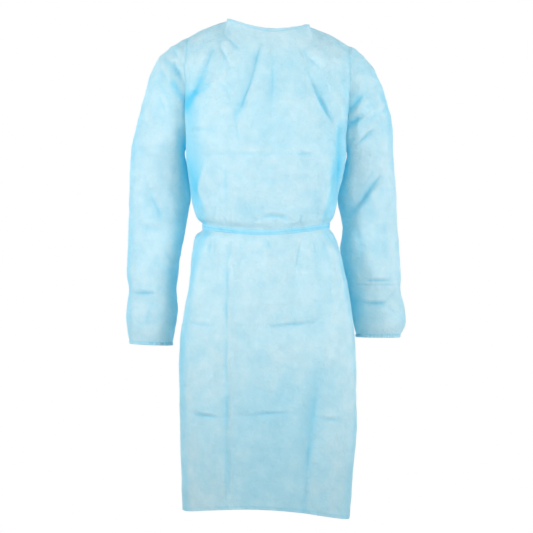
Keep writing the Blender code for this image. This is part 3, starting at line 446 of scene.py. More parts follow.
# The belt is nipped in here, as seen from the front or from behind.
Nip = namedtuple("Nip", "face x width depth")

NIPS = rows_in_mm(Nip, "face", [
    ("front", -133, 7, 0.5),
    ("front", -103, 5, 0.9),
    ("front", -78, 5, 0.9),
    ("front", 81, 6, 0.7),
    ("front", 112, 8, 0.5),
    ("front", 137, 5, 0.7),
    ("back", -118, 6, 0.7),
    ("back", -52, 7, 0.6),
    ("back", 58, 6, 0.7),
    ("back", 109, 5, 0.6),
])

# ---------------------------------------------------------------- ties

Tie = namedtuple("Tie", "name panel top_x top_z foot_x foot_z")

TIES = rows_in_mm(Tie, "name panel", [
    ("neck_tie_left", "back_panel_left", 5, 27, 26, -170),
    ("neck_tie_right", "back_panel_right", -6, 27.4, -42, -140),
    ("belt_tie_left", "back_panel_left", 5, -442.2, 22, -665),
    ("belt_tie_right", "back_panel_left", -5, -442.2, -20, -625),
])
TIE_WIDTH = 0.012
TIE_PINCH = 0.008  # its width where the knot holds it
TIE_CLEAR = 0.0022  # how far it stands off the cloth behind it

# ---------------------------------------------------------------- curves and grids


def mix(a, b, share):
    return a + (b - a) * share


def soft_step(value, low, high):
    share = np.clip((value - low) / (high - low), 0, 1)
    return share * share * (3 - 2 * share)


def line_at(away, place, width):
    """A soft line of this width: 1 at its place, and 0 well away from it."""
    return np.exp(-(((away - place) / width) ** 2))


def crowded(cells, focus=None, spread=0.12, gain=2.5):
    """Shares from 0 to 1 with this many cells between them, closer round the focus."""
    t = np.linspace(0, 1, 4001)
    density = np.ones_like(t)
    if focus is not None:
        density += gain * line_at(t, focus, spread)
    run = np.concatenate([[0], np.cumsum((density[1:] + density[:-1]) / 2)])
    return np.interp(np.linspace(0, 1, cells + 1), run / run[-1], t)


def steps_of(curve):
    """The lengths between the points of a curve."""
    return np.linalg.norm(np.diff(curve, axis=0), axis=1)


def length_of(curve):
    return steps_of(curve).sum()


def at_lengths(curve, wanted):
    """The points at these lengths along a curve."""
    run = np.concatenate([[0], np.cumsum(steps_of(curve))])
    return np.stack([np.interp(wanted, run, curve[:, k]) for k in range(3)], axis=1)


def at_shares(curve, shares):
    """The points at these shares of a curve's length."""
    return at_lengths(curve, np.asarray(shares) * np.cumsum(steps_of(curve))[-1])


def part_of(curve, start, end):
    """The stretch of a curve between two lengths along it."""
    return at_lengths(curve, np.linspace(start, end, len(curve)))


def through(keys, stretches):
    """Rows of points on smooth curves through the key rows. stretches[i] gives the
    shares of the way from key i to the next at which rows lie, the last one left out."""
    keys = np.asarray(keys)
    gaps = np.linalg.norm(np.diff(keys, axis=0), axis=2).mean(axis=1)
    gaps = gaps[:, None, None]
    slopes = np.diff(keys, axis=0) / gaps
    inner = (slopes[:-1] * gaps[1:] + slopes[1:] * gaps[:-1]) / (gaps[1:] + gaps[:-1])
    ends = 2 * slopes[:1] - inner[:1], 2 * slopes[-1:] - inner[-1:]
    tangents = np.concatenate([ends[0], inner, ends[1]])
    rows = []
    for i, shares in enumerate(stretches):
        for t in shares[:-1]:
            rows.append(
                (2 * t**3 - 3 * t**2 + 1) * keys[i]
                + (t**3 - 2 * t**2 + t) * gaps[i] * tangents[i]
                + (3 * t**2 - 2 * t**3) * keys[i + 1]
                + (t**3 - t**2) * gaps[i] * tangents[i + 1]
            )
    return np.array(rows + [keys[-1]])


def shoulder_seam(start, end):
    t = np.linspace(0, 1, 161)[:, None]
    line = mix(np.array(start), np.array(end), t)
    line[:, 2] += SHOULDER_CROWN * np.sin(pi * t[:, 0])
    return line


def neck_curve(middle):
    """The neck edge from the right to the left shoulder seam, past this middle point."""
    turn = np.linspace(-pi / 2, pi / 2, 321)
    across = np.sin(turn)
    mid_x = (RIGHT_NECK.x + LEFT_NECK.x) / 2
    half = (LEFT_NECK.x - RIGHT_NECK.x) / 2
    ends = (RIGHT_NECK.z + LEFT_NECK.z) / 2
    tilt = (LEFT_NECK.z - RIGHT_NECK.z) / 2
    x = mid_x + half * across
    y = RIGHT_NECK.y + (middle.y - RIGHT_NECK.y) * np.cos(turn)
    z = middle.z + tilt * across + (ends - middle.z) * np.abs(across) ** NECK_SCOOP
    return np.stack([x, y, z], axis=1)


def section_curve(section, face):
    """One level of the front or of the back, from the right edge to the left one."""
    u = np.linspace(-1, 1, 641)
    turn = np.sin(u * (1 + section.tuck) * pi / 2)
    across = mix(u, turn, section.wrap)
    arc = 1 - u**2
    turned = (1 - np.abs(np.sin(u * pi / 2)) ** section.square).clip(0)
    bulge = mix(arc, turned ** (1 / section.square), section.wrap)
    if face == "front":
        side_y, middle_y = section.side_front_y, section.front_y
    else:
        side_y, middle_y = section.side_back_y, section.back_y
    x = mix(section.right_x, section.left_x, (across + 1) / 2)
    y = side_y + (middle_y - side_y) * bulge
    tilt = (section.left_z - section.right_z) / 2
    ends = (section.left_z + section.right_z) / 2
    z = section.mid_z + tilt * across + (ends - section.mid_z) * across**2
    return np.stack([x, y, z], axis=1)


def row_stretches(first, sections):
    return [crowded(first), *[crowded(s.cells, s.focus) for s in sections[:-1]]]


SHOULDER_SHARES = crowded(SHOULDER_COLUMNS, 0.0, 0.08, 2.5)
BACK_NECK_SHARES = crowded(BACK_NECK_COLUMNS, 1.0, 0.05, 2.0)


def front_shares():
    """Where the front panel's columns lie across it, from its right edge to its left."""
    side = SHOULDER_SHARES * SHOULDER_SHARE
    middle = np.linspace(SHOULDER_SHARE, 1 - SHOULDER_SHARE, NECK_COLUMNS + 1)
    return np.concatenate([side[:-1], middle[:-1], 1 - side[::-1]])


def front_grid():
    neck_shares = np.linspace(0, 1, NECK_COLUMNS + 1)
    right = at_shares(shoulder_seam(RIGHT_SHOULDER, RIGHT_NECK), SHOULDER_SHARES)
    neck = at_shares(neck_curve(NECK_FRONT), neck_shares)
    left = at_shares(shoulder_seam(LEFT_NECK, LEFT_SHOULDER), 1 - SHOULDER_SHARES[::-1])
    top = np.concatenate([right[:-1], neck[:-1], left])
    shares = front_shares()
    levels = [at_shares(section_curve(s, "front"), shares) for s in SECTIONS]
    return through([top, *levels], row_stretches(TOP_CELLS, SECTIONS))


def half_lap(z):
    """Half of how far the backs lap at this height."""
    return mix(LAP_AT_NECK, LAP_AT_HEM, soft_step(-z, 0, -WAIST_Z))


def back_shares():
    """The left back's columns from its side seam to its free edge."""
    side = SHOULDER_SHARES * BACK_SHOULDER_SHARE
    rest = BACK_SHOULDER_SHARE + (1 - BACK_SHOULDER_SHARE) * BACK_NECK_SHARES
    return np.concatenate([side[:-1], rest])


def back_grid(side):
    """A back panel's skin. The left one's columns run from its side seam to its free
    edge, and the right one's from its free edge to its side seam."""
    neck = neck_curve(NECK_BACK)
    half = length_of(neck) / 2
    if side == "left":
        seam = shoulder_seam(LEFT_SHOULDER, LEFT_NECK)
        neck = part_of(neck[::-1], 0, half + LAP_AT_NECK)
        top = [at_shares(seam, SHOULDER_SHARES)[:-1], at_shares(neck, BACK_NECK_SHARES)]
        shares = back_shares()
    else:
        seam = shoulder_seam(RIGHT_NECK, RIGHT_SHOULDER)
        neck = part_of(neck[::-1], half - LAP_AT_NECK, 2 * half)
        along_neck = at_shares(neck, 1 - BACK_NECK_SHARES[::-1])
        top = [along_neck[:-1], at_shares(seam, 1 - SHOULDER_SHARES[::-1])]
        shares = 1 - back_shares()[::-1]
    levels = []
    for section in SECTIONS:
        curve = section_curve(section, "back")[::-1]
        half, lap = length_of(curve) / 2, half_lap(section.mid_z)
        start, end = (0, half + lap) if side == "left" else (half - lap, 2 * half)
        levels.append(at_shares(part_of(curve, start, end), shares))
    keys = [np.concatenate(top), *levels]
    return through(keys, row_stretches(TOP_CELLS, SECTIONS))


def armhole_rows():
    """The number of the grid row at which the armholes end."""
    return TOP_CELLS + sum(s.cells for s in SECTIONS[: ARMHOLE_SECTIONS - 1])


def row_of(name):
    """The number of the grid row at which a section lies."""
    names = [s.name for s in SECTIONS]
    return TOP_CELLS + sum(s.cells for s in SECTIONS[: names.index(name)])


def join_side_seams(front, back_left, back_right):
    """Lets the front and the backs meet in one line below the armholes."""
    below = slice(armhole_rows(), None)
    for column, back, back_column in ((0, back_right, -1), (-1, back_left, 0)):
        seam = (front[below, column] + back[below, back_column]) / 2
        front[below, column] = seam
        back[below, back_column] = seam


def sleeve_grid(rings, front_edge, back_edge):
    """A sleeve's skin: rows down from the armhole, columns once round the arm."""
    half = len(front_edge) - 1
    even_turn = pi * np.arange(2 * half) / half
    keys = [np.concatenate([front_edge, back_edge[-2:0:-1]])]
    height = keys[0][:, 2]
    share = (height - height.min()) / (height.max() - height.min())
    armhole_turn = np.arccos(2 * share - 1)
    armhole_turn[half + 1 :] = 2 * pi - armhole_turn[half + 1 :]
    for number, ring in enumerate(rings):
        turn = mix(armhole_turn, even_turn, soft_step(number, 0, EVEN_RING))
        outer = np.array([ring.outer_x, ring.mid_y, ring.outer_z])
        inner = np.array([ring.inner_x, ring.mid_y, ring.inner_z])
        key = (outer + inner) / 2 + np.cos(turn)[:, None] * (outer - inner) / 2
        key[:, 1] -= ring.deep * np.sin(turn)
        keys.append(key)
    if rings[0].outer_x > 0:  # the other way round, so that the faces look outwards
        keys = [np.roll(key[::-1], 1, axis=0) for key in keys]
    return through(keys, row_stretches(ARMHOLE_CELLS, rings))


# ---------------------------------------------------------------- the skin and its folds


def cells_of(index, ring=False, flip=False):
    """The four corners of each cell of a grid of point numbers."""
    if ring:
        index = np.concatenate([index, index[:, :1]], axis=1)
    corners = [index[:-1, :-1], index[1:, :-1], index[1:, 1:], index[:-1, 1:]]
    if flip:
        corners[1], corners[3] = corners[3], corners[1]
    return np.stack(corners, axis=-1).reshape(-1, 4)


def own_normals(grid, ring):
    """Sums of the normals of the cells that meet at each point of one piece."""
    points = grid.reshape(-1, 3)
    cells = cells_of(np.arange(len(points)).reshape(grid.shape[:2]), ring)
    a, b, c, d = (points[cells[:, k]] for k in range(4))
    faces = np.cross(c - a, d - b)
    faces /= np.linalg.norm(faces, axis=1, keepdims=True) + 1e-12
    sums = np.zeros_like(points)
    for k in range(4):
        for axis in range(3):
            sums[:, axis] += np.bincount(cells[:, k], faces[:, axis], len(points))
    return sums


def skin_normals(pieces):
    """Unit normals for each piece of the skin. Pieces share them along their seams."""
    own = {name: own_normals(p.grid, p.ring) for name, p in pieces.items()}
    points = np.concatenate([p.grid.reshape(-1, 3) for p in pieces.values()])
    marks = np.round(points * 1e6).astype(np.int64) @ np.array([1, 1 << 21, 1 << 42])
    _, shared = np.unique(marks, return_inverse=True)
    stacked = np.concatenate(list(own.values()))
    sums = np.stack([np.bincount(shared, stacked[:, k])[shared] for k in range(3)], axis=1)
    found, start = {}, 0
    for name, piece in pieces.items():
        count = len(own[name])
        normal = sums[start : start + count]
        normal = normal / (np.linalg.norm(normal, axis=1, keepdims=True) + 1e-12)
        found[name] = normal.reshape(piece.grid.shape)
        start += count
    return found


def fold_line(fold, count=25):
    """Points along the curve through a fold's three points."""
    t = np.linspace(0, 1, count)[:, None]
    start, middle, end = np.array(fold[1:7]).reshape(3, 2)
    bend = 2 * middle - (start + end) / 2
    return (1 - t) ** 2 * start + 2 * t * (1 - t) * bend + t**2 * end


def from_line(line, seen):
    """For points as seen from a face: the way from a line, positive on one side of it
    and negative on the other, and the share of the line at which they lie."""
    run = line[1:] - line[:-1]
    seen = seen.reshape(-1, 1, 2)
    along = ((seen - line[:-1]) * run).sum(axis=2) / (run**2).sum(axis=1)
    along = along.clip(0, 1)
    away = seen - (line[:-1] + along[..., None] * run)
    distance = np.linalg.norm(away, axis=2)
    best = distance.argmin(axis=1)
    pick = np.arange(len(best))
    side = run[best, 0] * away[pick, best, 1] - run[best, 1] * away[pick, best, 0]
    return np.copysign(distance[pick, best], side), (best + along[pick, best]) / len(run)


def fold_profile(fold, line, seen, sharp, phase):
    """How far a fold stands out at these points. A crease is a sharp fold: its bottom is
    a narrow V, and its path and depth are uneven."""
    signed, share = from_line(line, seen)
    fade = np.sin(pi * share.clip(0.02, 0.98)) ** 0.6
    depth = fold.depth
    if sharp:
        length = length_of(line)
        signed = signed + CREASE_SWAY * np.sin(share * length / SWAY_RUN + phase)
        fade = fade * (0.8 + 0.25 * np.sin(share * length / UNEVEN_RUN + 2.3 * phase))
        ridge = np.exp(-((np.abs(signed) / fold.width) ** 1.25))
        depth = depth * CREASE_GAIN
    else:
        ridge = line_at(signed, 0, fold.width)
    beside = np.copysign(2 * fold.width, fold.lip)
    lip = abs(fold.lip) * line_at(signed, beside, 1.3 * fold.width)
    return depth * fade * (ridge - lip)


def fold_push(fold, points, normals, sharp, phase):
    """How far one fold pushes each point of a piece out along its normal."""
    line = fold_line(fold)
    seen = points.reshape(-1, 3)[:, [0, 2]]
    facing = normals[..., 1].reshape(-1) * (-1 if fold.face == "front" else 1)
    reach = 5 * fold.width
    inside = (seen > line.min(axis=0) - reach) & (seen < line.max(axis=0) + reach)
    near = np.flatnonzero((facing > 0.1) & inside.all(axis=1))
    push = np.zeros(len(seen))
    if len(near):
        turned = soft_step(facing[near], 0.1, 0.6)
        push[near] = fold_profile(fold, line, seen[near], sharp, phase) * turned
    return push.reshape(points.shape[:2])


def lattice_noise(points, size, seed):
    """Smooth noise from -1 to 1 over space, with bumps of this size."""
    table = np.random.RandomState(seed).uniform(-1, 1, (64, 64, 64))
    place = points.reshape(-1, 3) / size + 17.3
    cell = np.floor(place).astype(int)
    t = place - cell
    t = t * t * t * (t * (6 * t - 15) + 10)
    total = np.zeros(len(place))
    for dx in (0, 1):
        for dy in (0, 1):
            for dz in (0, 1):
                weight = (
                    (t[:, 0] if dx else 1 - t[:, 0])
                    * (t[:, 1] if dy else 1 - t[:, 1])
                    * (t[:, 2] if dz else 1 - t[:, 2])
                )
                key = (cell + (dx, dy, dz)) % 64
                total += weight * table[key[:, 0], key[:, 1], key[:, 2]]
    return total.reshape(points.shape[:-1])


def crumple(points):
    """The uneven lie of light, once-folded cloth: faint ridges over soft waves."""
    wide = lattice_noise(points, 0.075, 1)
    ridged = 0.35 - np.abs(lattice_noise(points, 0.046, 2))
    small = lattice_noise(points, 0.019, 3)
    fine = lattice_noise(points, 0.008, 4)
    return 0.0011 * wide + 0.0012 * ridged + 0.00055 * small + 0.0002 * fine


# Fine ridges that run one way: how high they are, which way they run, the size of their
# noise, how far it is drawn out, and its seed
Streaks = namedtuple("Streaks", "height along size stretch seed")

GATHERS = Streaks(0.00085, (0, 0, 1), 0.014, 5, 11)
SLANTS = Streaks(0.00080, (0.55, 0, -1), 0.019, 5, 12)
HANGING = Streaks(0.00045, (0, 0, 1), 0.026, 6, 13)
FAN = Streaks(0.0012, (0.8, 0, 0.6), 0.017, 4, 14)
CROSSING = Streaks(0.0008, (1, 0, -0.25), 0.018, 4, 15)
LENGTHWAYS = Streaks(0.0007, (0.05, 0, 1), 0.016, 5, 16)


def streaked(points, kind, side=1):
    """How far these ridges stand out. Those of the right side, -1, run the other way."""
    along = np.array(kind.along) * (side, 1, 1)
    along = along / np.linalg.norm(along)
    run = (points @ along)[..., None] * along
    drawn = (points - run) + run / kind.stretch
    return kind.height * (0.45 - 2.2 * np.abs(lattice_noise(drawn, kind.size, kind.seed)))


def body_wrinkles(points):
    """Gathers above and below the belt, slanting wrinkles down from the shoulders, and
    hanging ones in the skirt."""
    x, z = points[..., 0], points[..., 2]
    slants = np.where(x >= 0, streaked(points, SLANTS), streaked(points, SLANTS, -1))
    slanting = soft_step(z, -0.26, -0.10) * soft_step(abs(x), 0.03, 0.10) * slants
    gathered = line_at(z, WAIST_Z, 0.055) * streaked(points, GATHERS)
    return gathered + slanting + soft_step(-z, 0.45, 0.60) * streaked(points, HANGING)


def sleeve_wrinkles(points):
    """Wrinkles that fan out from the armhole and, lower down, run round and along."""
    z = points[..., 2]
    side = np.sign(points[..., 0].mean())
    cap = soft_step(z, -0.24, -0.06) * streaked(points, FAN, side)
    low = (1 - soft_step(z, -0.55, -0.30)) * streaked(points, CROSSING, side)
    return cap + low + streaked(points, LENGTHWAYS)


def belt_hold(grid, near=0.012, clear=0.03):
    """How far the belt lets the cloth move: little under it, fully away from it."""
    return mix(0.35, 1, soft_step(abs(grid[..., 2] - WAIST_Z), near, clear))


def held(piece, cuff_rows):
    """How far the belt, or for a sleeve its cuff seam, lets each point of a piece move."""
    if not piece.ring:
        return belt_hold(piece.grid)
    rows = len(piece.grid)
    return soft_step(rows - 1 - np.arange(rows), 0, cuff_rows)[:, None]


class Piece:
    """A cut piece's skin: its points, whether its columns close a ring, and how full its colour
    is, from 0 to 1: painted shade in the folds, hollows and on the sides, lessened by painted
    highlights, and the doubled cloth at the seams."""

    def __init__(self, grid, ring=False):
        self.grid = grid
        self.ring = ring
        self.deep = np.zeros(grid.shape[:2])


def at_heights(rows, z, field):
    """A field of these rows, worked out for the heights z between them."""
    heights = [-row.z for row in rows]
    return np.interp(-z, heights, [getattr(row, field) for row in rows])


def shade_body(piece):
    """Painted shade on the body's sides, with a painted highlight as a paler rim at the side
    seams.
    """
    x, z = piece.grid[..., 0], piece.grid[..., 2]
    for side, sign in (("right", -1), ("left", 1)):
        edges = np.array([abs(getattr(s, side + "_x")) for s in SECTIONS])
        share = sign * x / np.interp(-z, [-s.mid_z for s in SECTIONS], edges)
        full, start, stop = (
            at_heights(BODY_PAINTED_SHADES, z, side + part) for part in ("_full", "_from", "_to")
        )
        # painted highlight: a paler rim along the side seams, below the armholes
        rim = 0.45 * line_at(share, 1.0, 0.025) * soft_step(-z, 0.155, 0.175)
        piece.deep += full * soft_step(share, start, stop) * (1 - rim)


def shade_sleeve(piece, shades):
    """Painted shade on a sleeve's inner side, which faces the body, and along its outer edge."""
    x, z = piece.grid[..., 0], piece.grid[..., 2]
    low, high = x.min(axis=1, keepdims=True), x.max(axis=1, keepdims=True)
    inward = (2 * x - low - high) / (high - low)
    if x.mean() > 0:
        inward = -inward
    full, start = at_heights(shades, z, "full"), at_heights(shades, z, "start")
    turned = ((inward - start) / (1 - start)).clip(0, 1)
    outer = at_heights(shades, z, "outer") * soft_step(-inward, 0.70, 0.92)
    piece.deep += full * turned**1.5 + outer


def from_edge(grid, edge):
    """The way to each point from the first or the last row of a grid, down its columns."""
    steps = np.linalg.norm(np.diff(grid, axis=0), axis=2)
    run = np.concatenate([np.zeros((1, grid.shape[1])), np.cumsum(steps, axis=0)])
    return run if edge == "first" else run[-1:] - run


SIDE_SEAMS = {
    "front_panel": ("first", "last"),
    "back_panel_left": ("first",),
    "back_panel_right": ("last",),
}


def sew_body(name, piece):
    """The marks of the seams at the sides and armholes and of the turned-up hem."""
    for edge in SIDE_SEAMS[name]:
        away = from_edge(piece.grid.transpose(1, 0, 2), edge).T
        piece.deep += 0.24 * line_at(away, 0, STITCHING) + 0.06 * (away < SEAM_ALLOWANCE)
    up = from_edge(piece.grid, "last")
    piece.deep += 0.06 * (up < HEM_HEIGHT) + 0.20 * line_at(up, HEM_HEIGHT, HEM_STITCHING)


def shade_hollow(piece, hollow):
    """Painted shade along a hollow's line."""
    start = np.array([hollow.x0, hollow.z0])
    run = np.array([hollow.x1, hollow.z1]) - start
    seen = piece.grid[..., [0, 2]] - start
    share = ((seen * run).sum(axis=2) / (run**2).sum()).clip(0, 1)
    away = np.linalg.norm(seen - share[..., None] * run, axis=2)
    piece.deep += hollow.full * line_at(away, 0, hollow.width)


def shade_pieces(pieces):
    """Painted shade in the hollows and on the sides, and the fuller colour of the seams, before
    any fold is laid.
    """
    for hollow in PAINTED_HOLLOW_SHADES:
        shade_hollow(pieces[hollow.piece], hollow)
    for name, piece in pieces.items():
        if piece.ring:
            underarm = piece.deep.shape[1] // 2
            piece.deep[0] += 0.20
            piece.deep[:, underarm] += 0.15
        else:
            shade_body(piece)
            sew_body(name, piece)
    shade_sleeve(pieces["sleeve_right"], RIGHT_SLEEVE_PAINTED_SHADES)
    shade_sleeve(pieces["sleeve_left"], LEFT_SLEEVE_PAINTED_SHADES)


# How deep a fold, a crease or a wrinkle has to be for its full painted shade, and how full that
# is
FOLD_SHADE_AND_HIGHLIGHT = 0.0085, 0.13
CREASE_SHADE_AND_HIGHLIGHT = 0.0042, 0.36
WRINKLE_SHADE_AND_HIGHLIGHT = 0.0016, 0.09

# How many rows above the cuff seam the folds and the wrinkles of a sleeve start to end
FOLD_END_ROWS = 21
WRINKLE_END_ROWS = 12


def fold_pieces(pieces, folds, sharp):
    """Lays these folds in every piece, with painted shade in the troughs and a painted highlight
    on the tops.
    """
    normals = skin_normals(pieces)
    bottom, full = CREASE_SHADE_AND_HIGHLIGHT if sharp else FOLD_SHADE_AND_HIGHLIGHT
    for name, piece in pieces.items():
        push = np.zeros(piece.grid.shape[:2])
        for number, fold in enumerate(folds):
            push += fold_push(fold, piece.grid, normals[name], sharp, number)
        push *= held(piece, FOLD_END_ROWS)
        piece.grid += normals[name] * push[..., None]
        # painted shade in the troughs, and a painted highlight that takes some of it back on the
        # tops
        piece.deep += full * (-push / bottom).clip(0, 1.2) ** 1.3
        piece.deep -= 0.25 * full * (push / bottom).clip(0, 1)


def crumple_pieces(pieces):
    """Adds the fine wrinkles to every piece, each with light painted shade in its hollows and a
    painted highlight on its ridges.
    """
    normals = skin_normals(pieces)
    bottom, full = WRINKLE_SHADE_AND_HIGHLIGHT
    for name, piece in pieces.items():
        push = crumple(piece.grid)
        if piece.ring:
            push = (push + sleeve_wrinkles(piece.grid)) * held(piece, WRINKLE_END_ROWS)
        else:
            wrinkles = body_wrinkles(piece.grid) * belt_hold(piece.grid, 0.008, 0.018)
            push = push * held(piece, WRINKLE_END_ROWS) + wrinkles
        piece.grid += normals[name] * push[..., None]
        # painted shade in the wrinkles' hollows, and a painted highlight on their ridges
        piece.deep += full * (-push / bottom).clip(-1.0, 1.6)


def lift_lap(grid, normals):
    """Stands the left back panel off the right one where it covers it."""
    steps = np.linalg.norm(np.diff(grid[:, ::-1], axis=1), axis=2)
    run = np.cumsum(steps, axis=1)[:, ::-1]
    run = np.concatenate([run, np.zeros((len(grid), 1))], axis=1)
    past = run - 2 * half_lap(grid[..., 2])
    lift = LAP_LIFT * (1 - soft_step(past, LAP_SPARE, LAP_SPARE + LAP_FADE))
    grid += normals * lift[..., None]


def skin():
    """The skin of the body and the sleeves by the names of the pieces, and its normals."""
    front, left, right = front_grid(), back_grid("left"), back_grid("right")
    join_side_seams(front, left, right)
    rows = armhole_rows() + 1
    left_sleeve = sleeve_grid(LEFT_SLEEVE, front[:rows, -1], left[:rows, 0])
    right_sleeve = sleeve_grid(RIGHT_SLEEVE, front[:rows, 0], right[:rows, -1])
    pieces = {
        "front_panel": Piece(front),
        "back_panel_left": Piece(left),
        "back_panel_right": Piece(right),
        "sleeve_left": Piece(left_sleeve, True),
        "sleeve_right": Piece(right_sleeve, True),
    }
    shade_pieces(pieces)
    fold_pieces(pieces, FOLDS, False)
    fold_pieces(pieces, CREASES, True)
    crumple_pieces(pieces)
    lift_lap(pieces["back_panel_left"].grid, skin_normals(pieces)["back_panel_left"])
    return pieces, skin_normals(pieces)


# ---------------------------------------------------------------- meshes


def runs_of(grid):
    """Lengths along the rows and down the columns of a grid, for its cloth pattern."""
    across = np.linalg.norm(np.diff(grid, axis=1), axis=2)
    down = np.linalg.norm(np.diff(grid, axis=0), axis=2)
    across = np.concatenate([np.zeros((len(grid), 1)), np.cumsum(across, axis=1)], axis=1)
    down = np.concatenate([np.zeros((1, grid.shape[1])), np.cumsum(down, axis=0)])
    return across - across.mean(axis=1, keepdims=True), -down


def shell_faces(shape, ring):
    """The faces between an outer and an inner grid of points, and round their edges."""
    count = shape[0] * shape[1]
    index = np.arange(count).reshape(shape)
    faces = [
        cells_of(index, ring),
        cells_of(index + count, ring, True),
        cells_of(np.stack([index[0], index[0] + count]), ring, True),
        cells_of(np.stack([index[-1], index[-1] + count]), ring),
    ]
    if not ring:
        faces.append(cells_of(np.stack([index[:, 0], index[:, 0] + count])))
        faces.append(cells_of(np.stack([index[:, -1], index[:, -1] + count]), flip=True))
    return np.concatenate(faces)


def shell_uv(outer, faces, ring):
    """Where each corner of the faces lies on the flat cloth."""
    rows, columns = outer.shape[:2]
    wrapped = np.concatenate([outer, outer[:, :1]], axis=1) if ring else outer
    across, down = runs_of(wrapped)
    u = np.tile(across[:, :columns].reshape(-1), 2)[faces]
    v = np.tile(down[:, :columns].reshape(-1), 2)[faces]
    if ring:  # the cells that close the ring end one whole girth along
        row, column = np.divmod(faces % (rows * columns), columns)
        closing = (column.max(axis=1) == columns - 1) & (column.min(axis=1) == 0)
        u = np.where(closing[:, None] & (column == 0), across[row, columns], u)
    return np.stack([u, v], axis=-1)


def dressed(name, points, faces, uv, deep, material):
    """An object of this mesh, which rides the gown's one body."""
    mesh = bpy.data.meshes.new(name)
    mesh.from_pydata(points.tolist(), [], faces.tolist())
    places = mesh.uv_layers.new(name="cloth")
    places.data.foreach_set("uv", uv.astype(np.float32).ravel())
    # deep: painted shade and painted highlight from folds, hollows and sides, and the fuller
    # colour of doubled cloth
    marks = mesh.attributes.new("deep", "FLOAT", "POINT")
    marks.data.foreach_set("value", deep.astype(np.float32))
    mesh.shade_smooth()
    mesh.materials.append(material)
    made = bpy.data.objects.new(name, mesh)
    bpy.context.scene.collection.objects.link(made)
    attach(made, "root")
    return made


def shell(name, outer, inner, deep, material, ring=False):
    """A closed thin shell between an outer and an inner grid of points."""
    faces = shell_faces(outer.shape[:2], ring)
    points = np.concatenate([outer.reshape(-1, 3), inner.reshape(-1, 3)])
    uv = shell_uv(outer, faces, ring)
    made = dressed(name, points, faces, uv, np.tile(deep.reshape(-1), 2), material)
    made.data.set_sharp_from_angle(angle=pi / 3)
    return made


def trimmed(grid, seams):
    """The grid with its sewn edges drawn back by half of a seam gap."""
    grid = grid.copy()
    edges = {
        "top": (np.s_[0], np.s_[1]),
        "left": (np.s_[:, 0], np.s_[:, 1]),
        "right": (np.s_[:, -1], np.s_[:, -2]),
    }
    for name, rows in seams.items():
        edge, inside = edges[name]
        move = (grid[inside] - grid[edge])[rows]
        size = np.linalg.norm(move, axis=1, keepdims=True)
        line = grid[edge]
        line[rows] += move / size * SEAM_GAP / 2
        grid[edge] = line
    return grid


# ---------------------------------------------------------------- materials


def node(tree, kind, sockets=None, **settings):
    """A new node. Each of its sockets gets a value, or a link from another's output."""
    made = tree.nodes.new(kind)
    for name, value in settings.items():
        setattr(made, name, value)
    for name, value in (sockets or {}).items():
        if isinstance(value, bpy.types.NodeSocket):
            tree.links.new(value, made.inputs[name])
        else:
            made.inputs[name].default_value = value
    return made


def noise(tree, place, scale, detail, roughness, distortion=0.0):
    sockets = {"Vector": place, "Scale": scale, "Detail": detail}
    sockets.update({"Roughness": roughness, "Distortion": distortion})
    return node(tree, "ShaderNodeTexNoise", sockets).outputs["Fac"]


def spread_over(tree, value, low, high, foot=0.0, top=1.0, way="LINEAR"):
    """The value, spread from low to high over foot to top."""
    sockets = {"Value": value, "From Min": low, "From Max": high, "To Min": foot, "To Max": top}
    return node(tree, "ShaderNodeMapRange", sockets, interpolation_type=way).outputs["Result"]


def mixed(tree, share, first, second):
    """A colour that is the first where the share is 0, and the second where it is 1."""
    sockets = {0: share, 6: first, 7: second}
    return node(tree, "ShaderNodeMix", sockets, data_type="RGBA").outputs[2]


def mapped(tree, vector, scale, turn=0.0):
    sockets = {"Vector": vector, "Rotation": (0.0, 0.0, turn), "Scale": (*scale, 1.0)}
    return node(tree, "ShaderNodeMapping", sockets).outputs["Vector"]


THINNER = (0.86, 0.935, 0.955)  # how much darker the cloth is where its fibres lie thin


def cloth_colour(tree, place, fibres, pale, fuller):
    """The pale colour, clouded by the fibres, and a fuller one where the 'deep' attribute asks
    for it: painted shade in folds, hollows and on the sides, and doubled cloth at seams and
    bands.
    """
    clouds = noise(tree, place, 30.0, 6.0, 0.66)
    thin = [tone * share for tone, share in zip(pale, THINNER)]
    clouded = mixed(tree, spread_over(tree, clouds, 0.34, 0.64), (*thin, 1), (*pale, 1))
    threads = spread_over(tree, fibres, 0.3, 0.7, 0.0, 0.10)
    threaded = mixed(tree, threads, clouded, (*fuller, 1))
    # the 'deep' attribute: painted shade of folds, hollows and sides, and the doubled cloth of
    # seams and bands
    deep = node(tree, "ShaderNodeAttribute", attribute_name="deep").outputs["Fac"]
    return mixed(tree, spread_over(tree, deep, 0.0, 1.0), threaded, (*fuller, 1))


def cloth_relief(tree, place, flat_place, fibres):
    """Fine crinkles, bond points that are pressed in, and fibres that stand out."""
    bond_place = mapped(tree, flat_place, (620.0, 620.0), radians(45))
    sockets = {"Vector": bond_place, "Scale": 1.0, "Randomness": 0.0}
    bonds = node(tree, "ShaderNodeTexVoronoi", sockets, feature="F1").outputs["Distance"]
    dots = spread_over(tree, bonds, 0.16, 0.34, way="SMOOTHSTEP")
    fine = node(tree, "ShaderNodeMath", {0: fibres, 1: 0.6, 2: dots}, operation="MULTIPLY_ADD")
    crinkle = noise(tree, place, 75.0, 4.0, 0.55, 0.6)
    sockets = {"Strength": 0.5, "Distance": 0.0105, "Height": crinkle}
    crinkled = node(tree, "ShaderNodeBump", sockets).outputs["Normal"]
    sockets = {"Strength": 0.35, "Distance": 0.00012, "Height": fine.outputs["Value"]}
    return node(tree, "ShaderNodeBump", {**sockets, "Normal": crinkled}).outputs["Normal"]


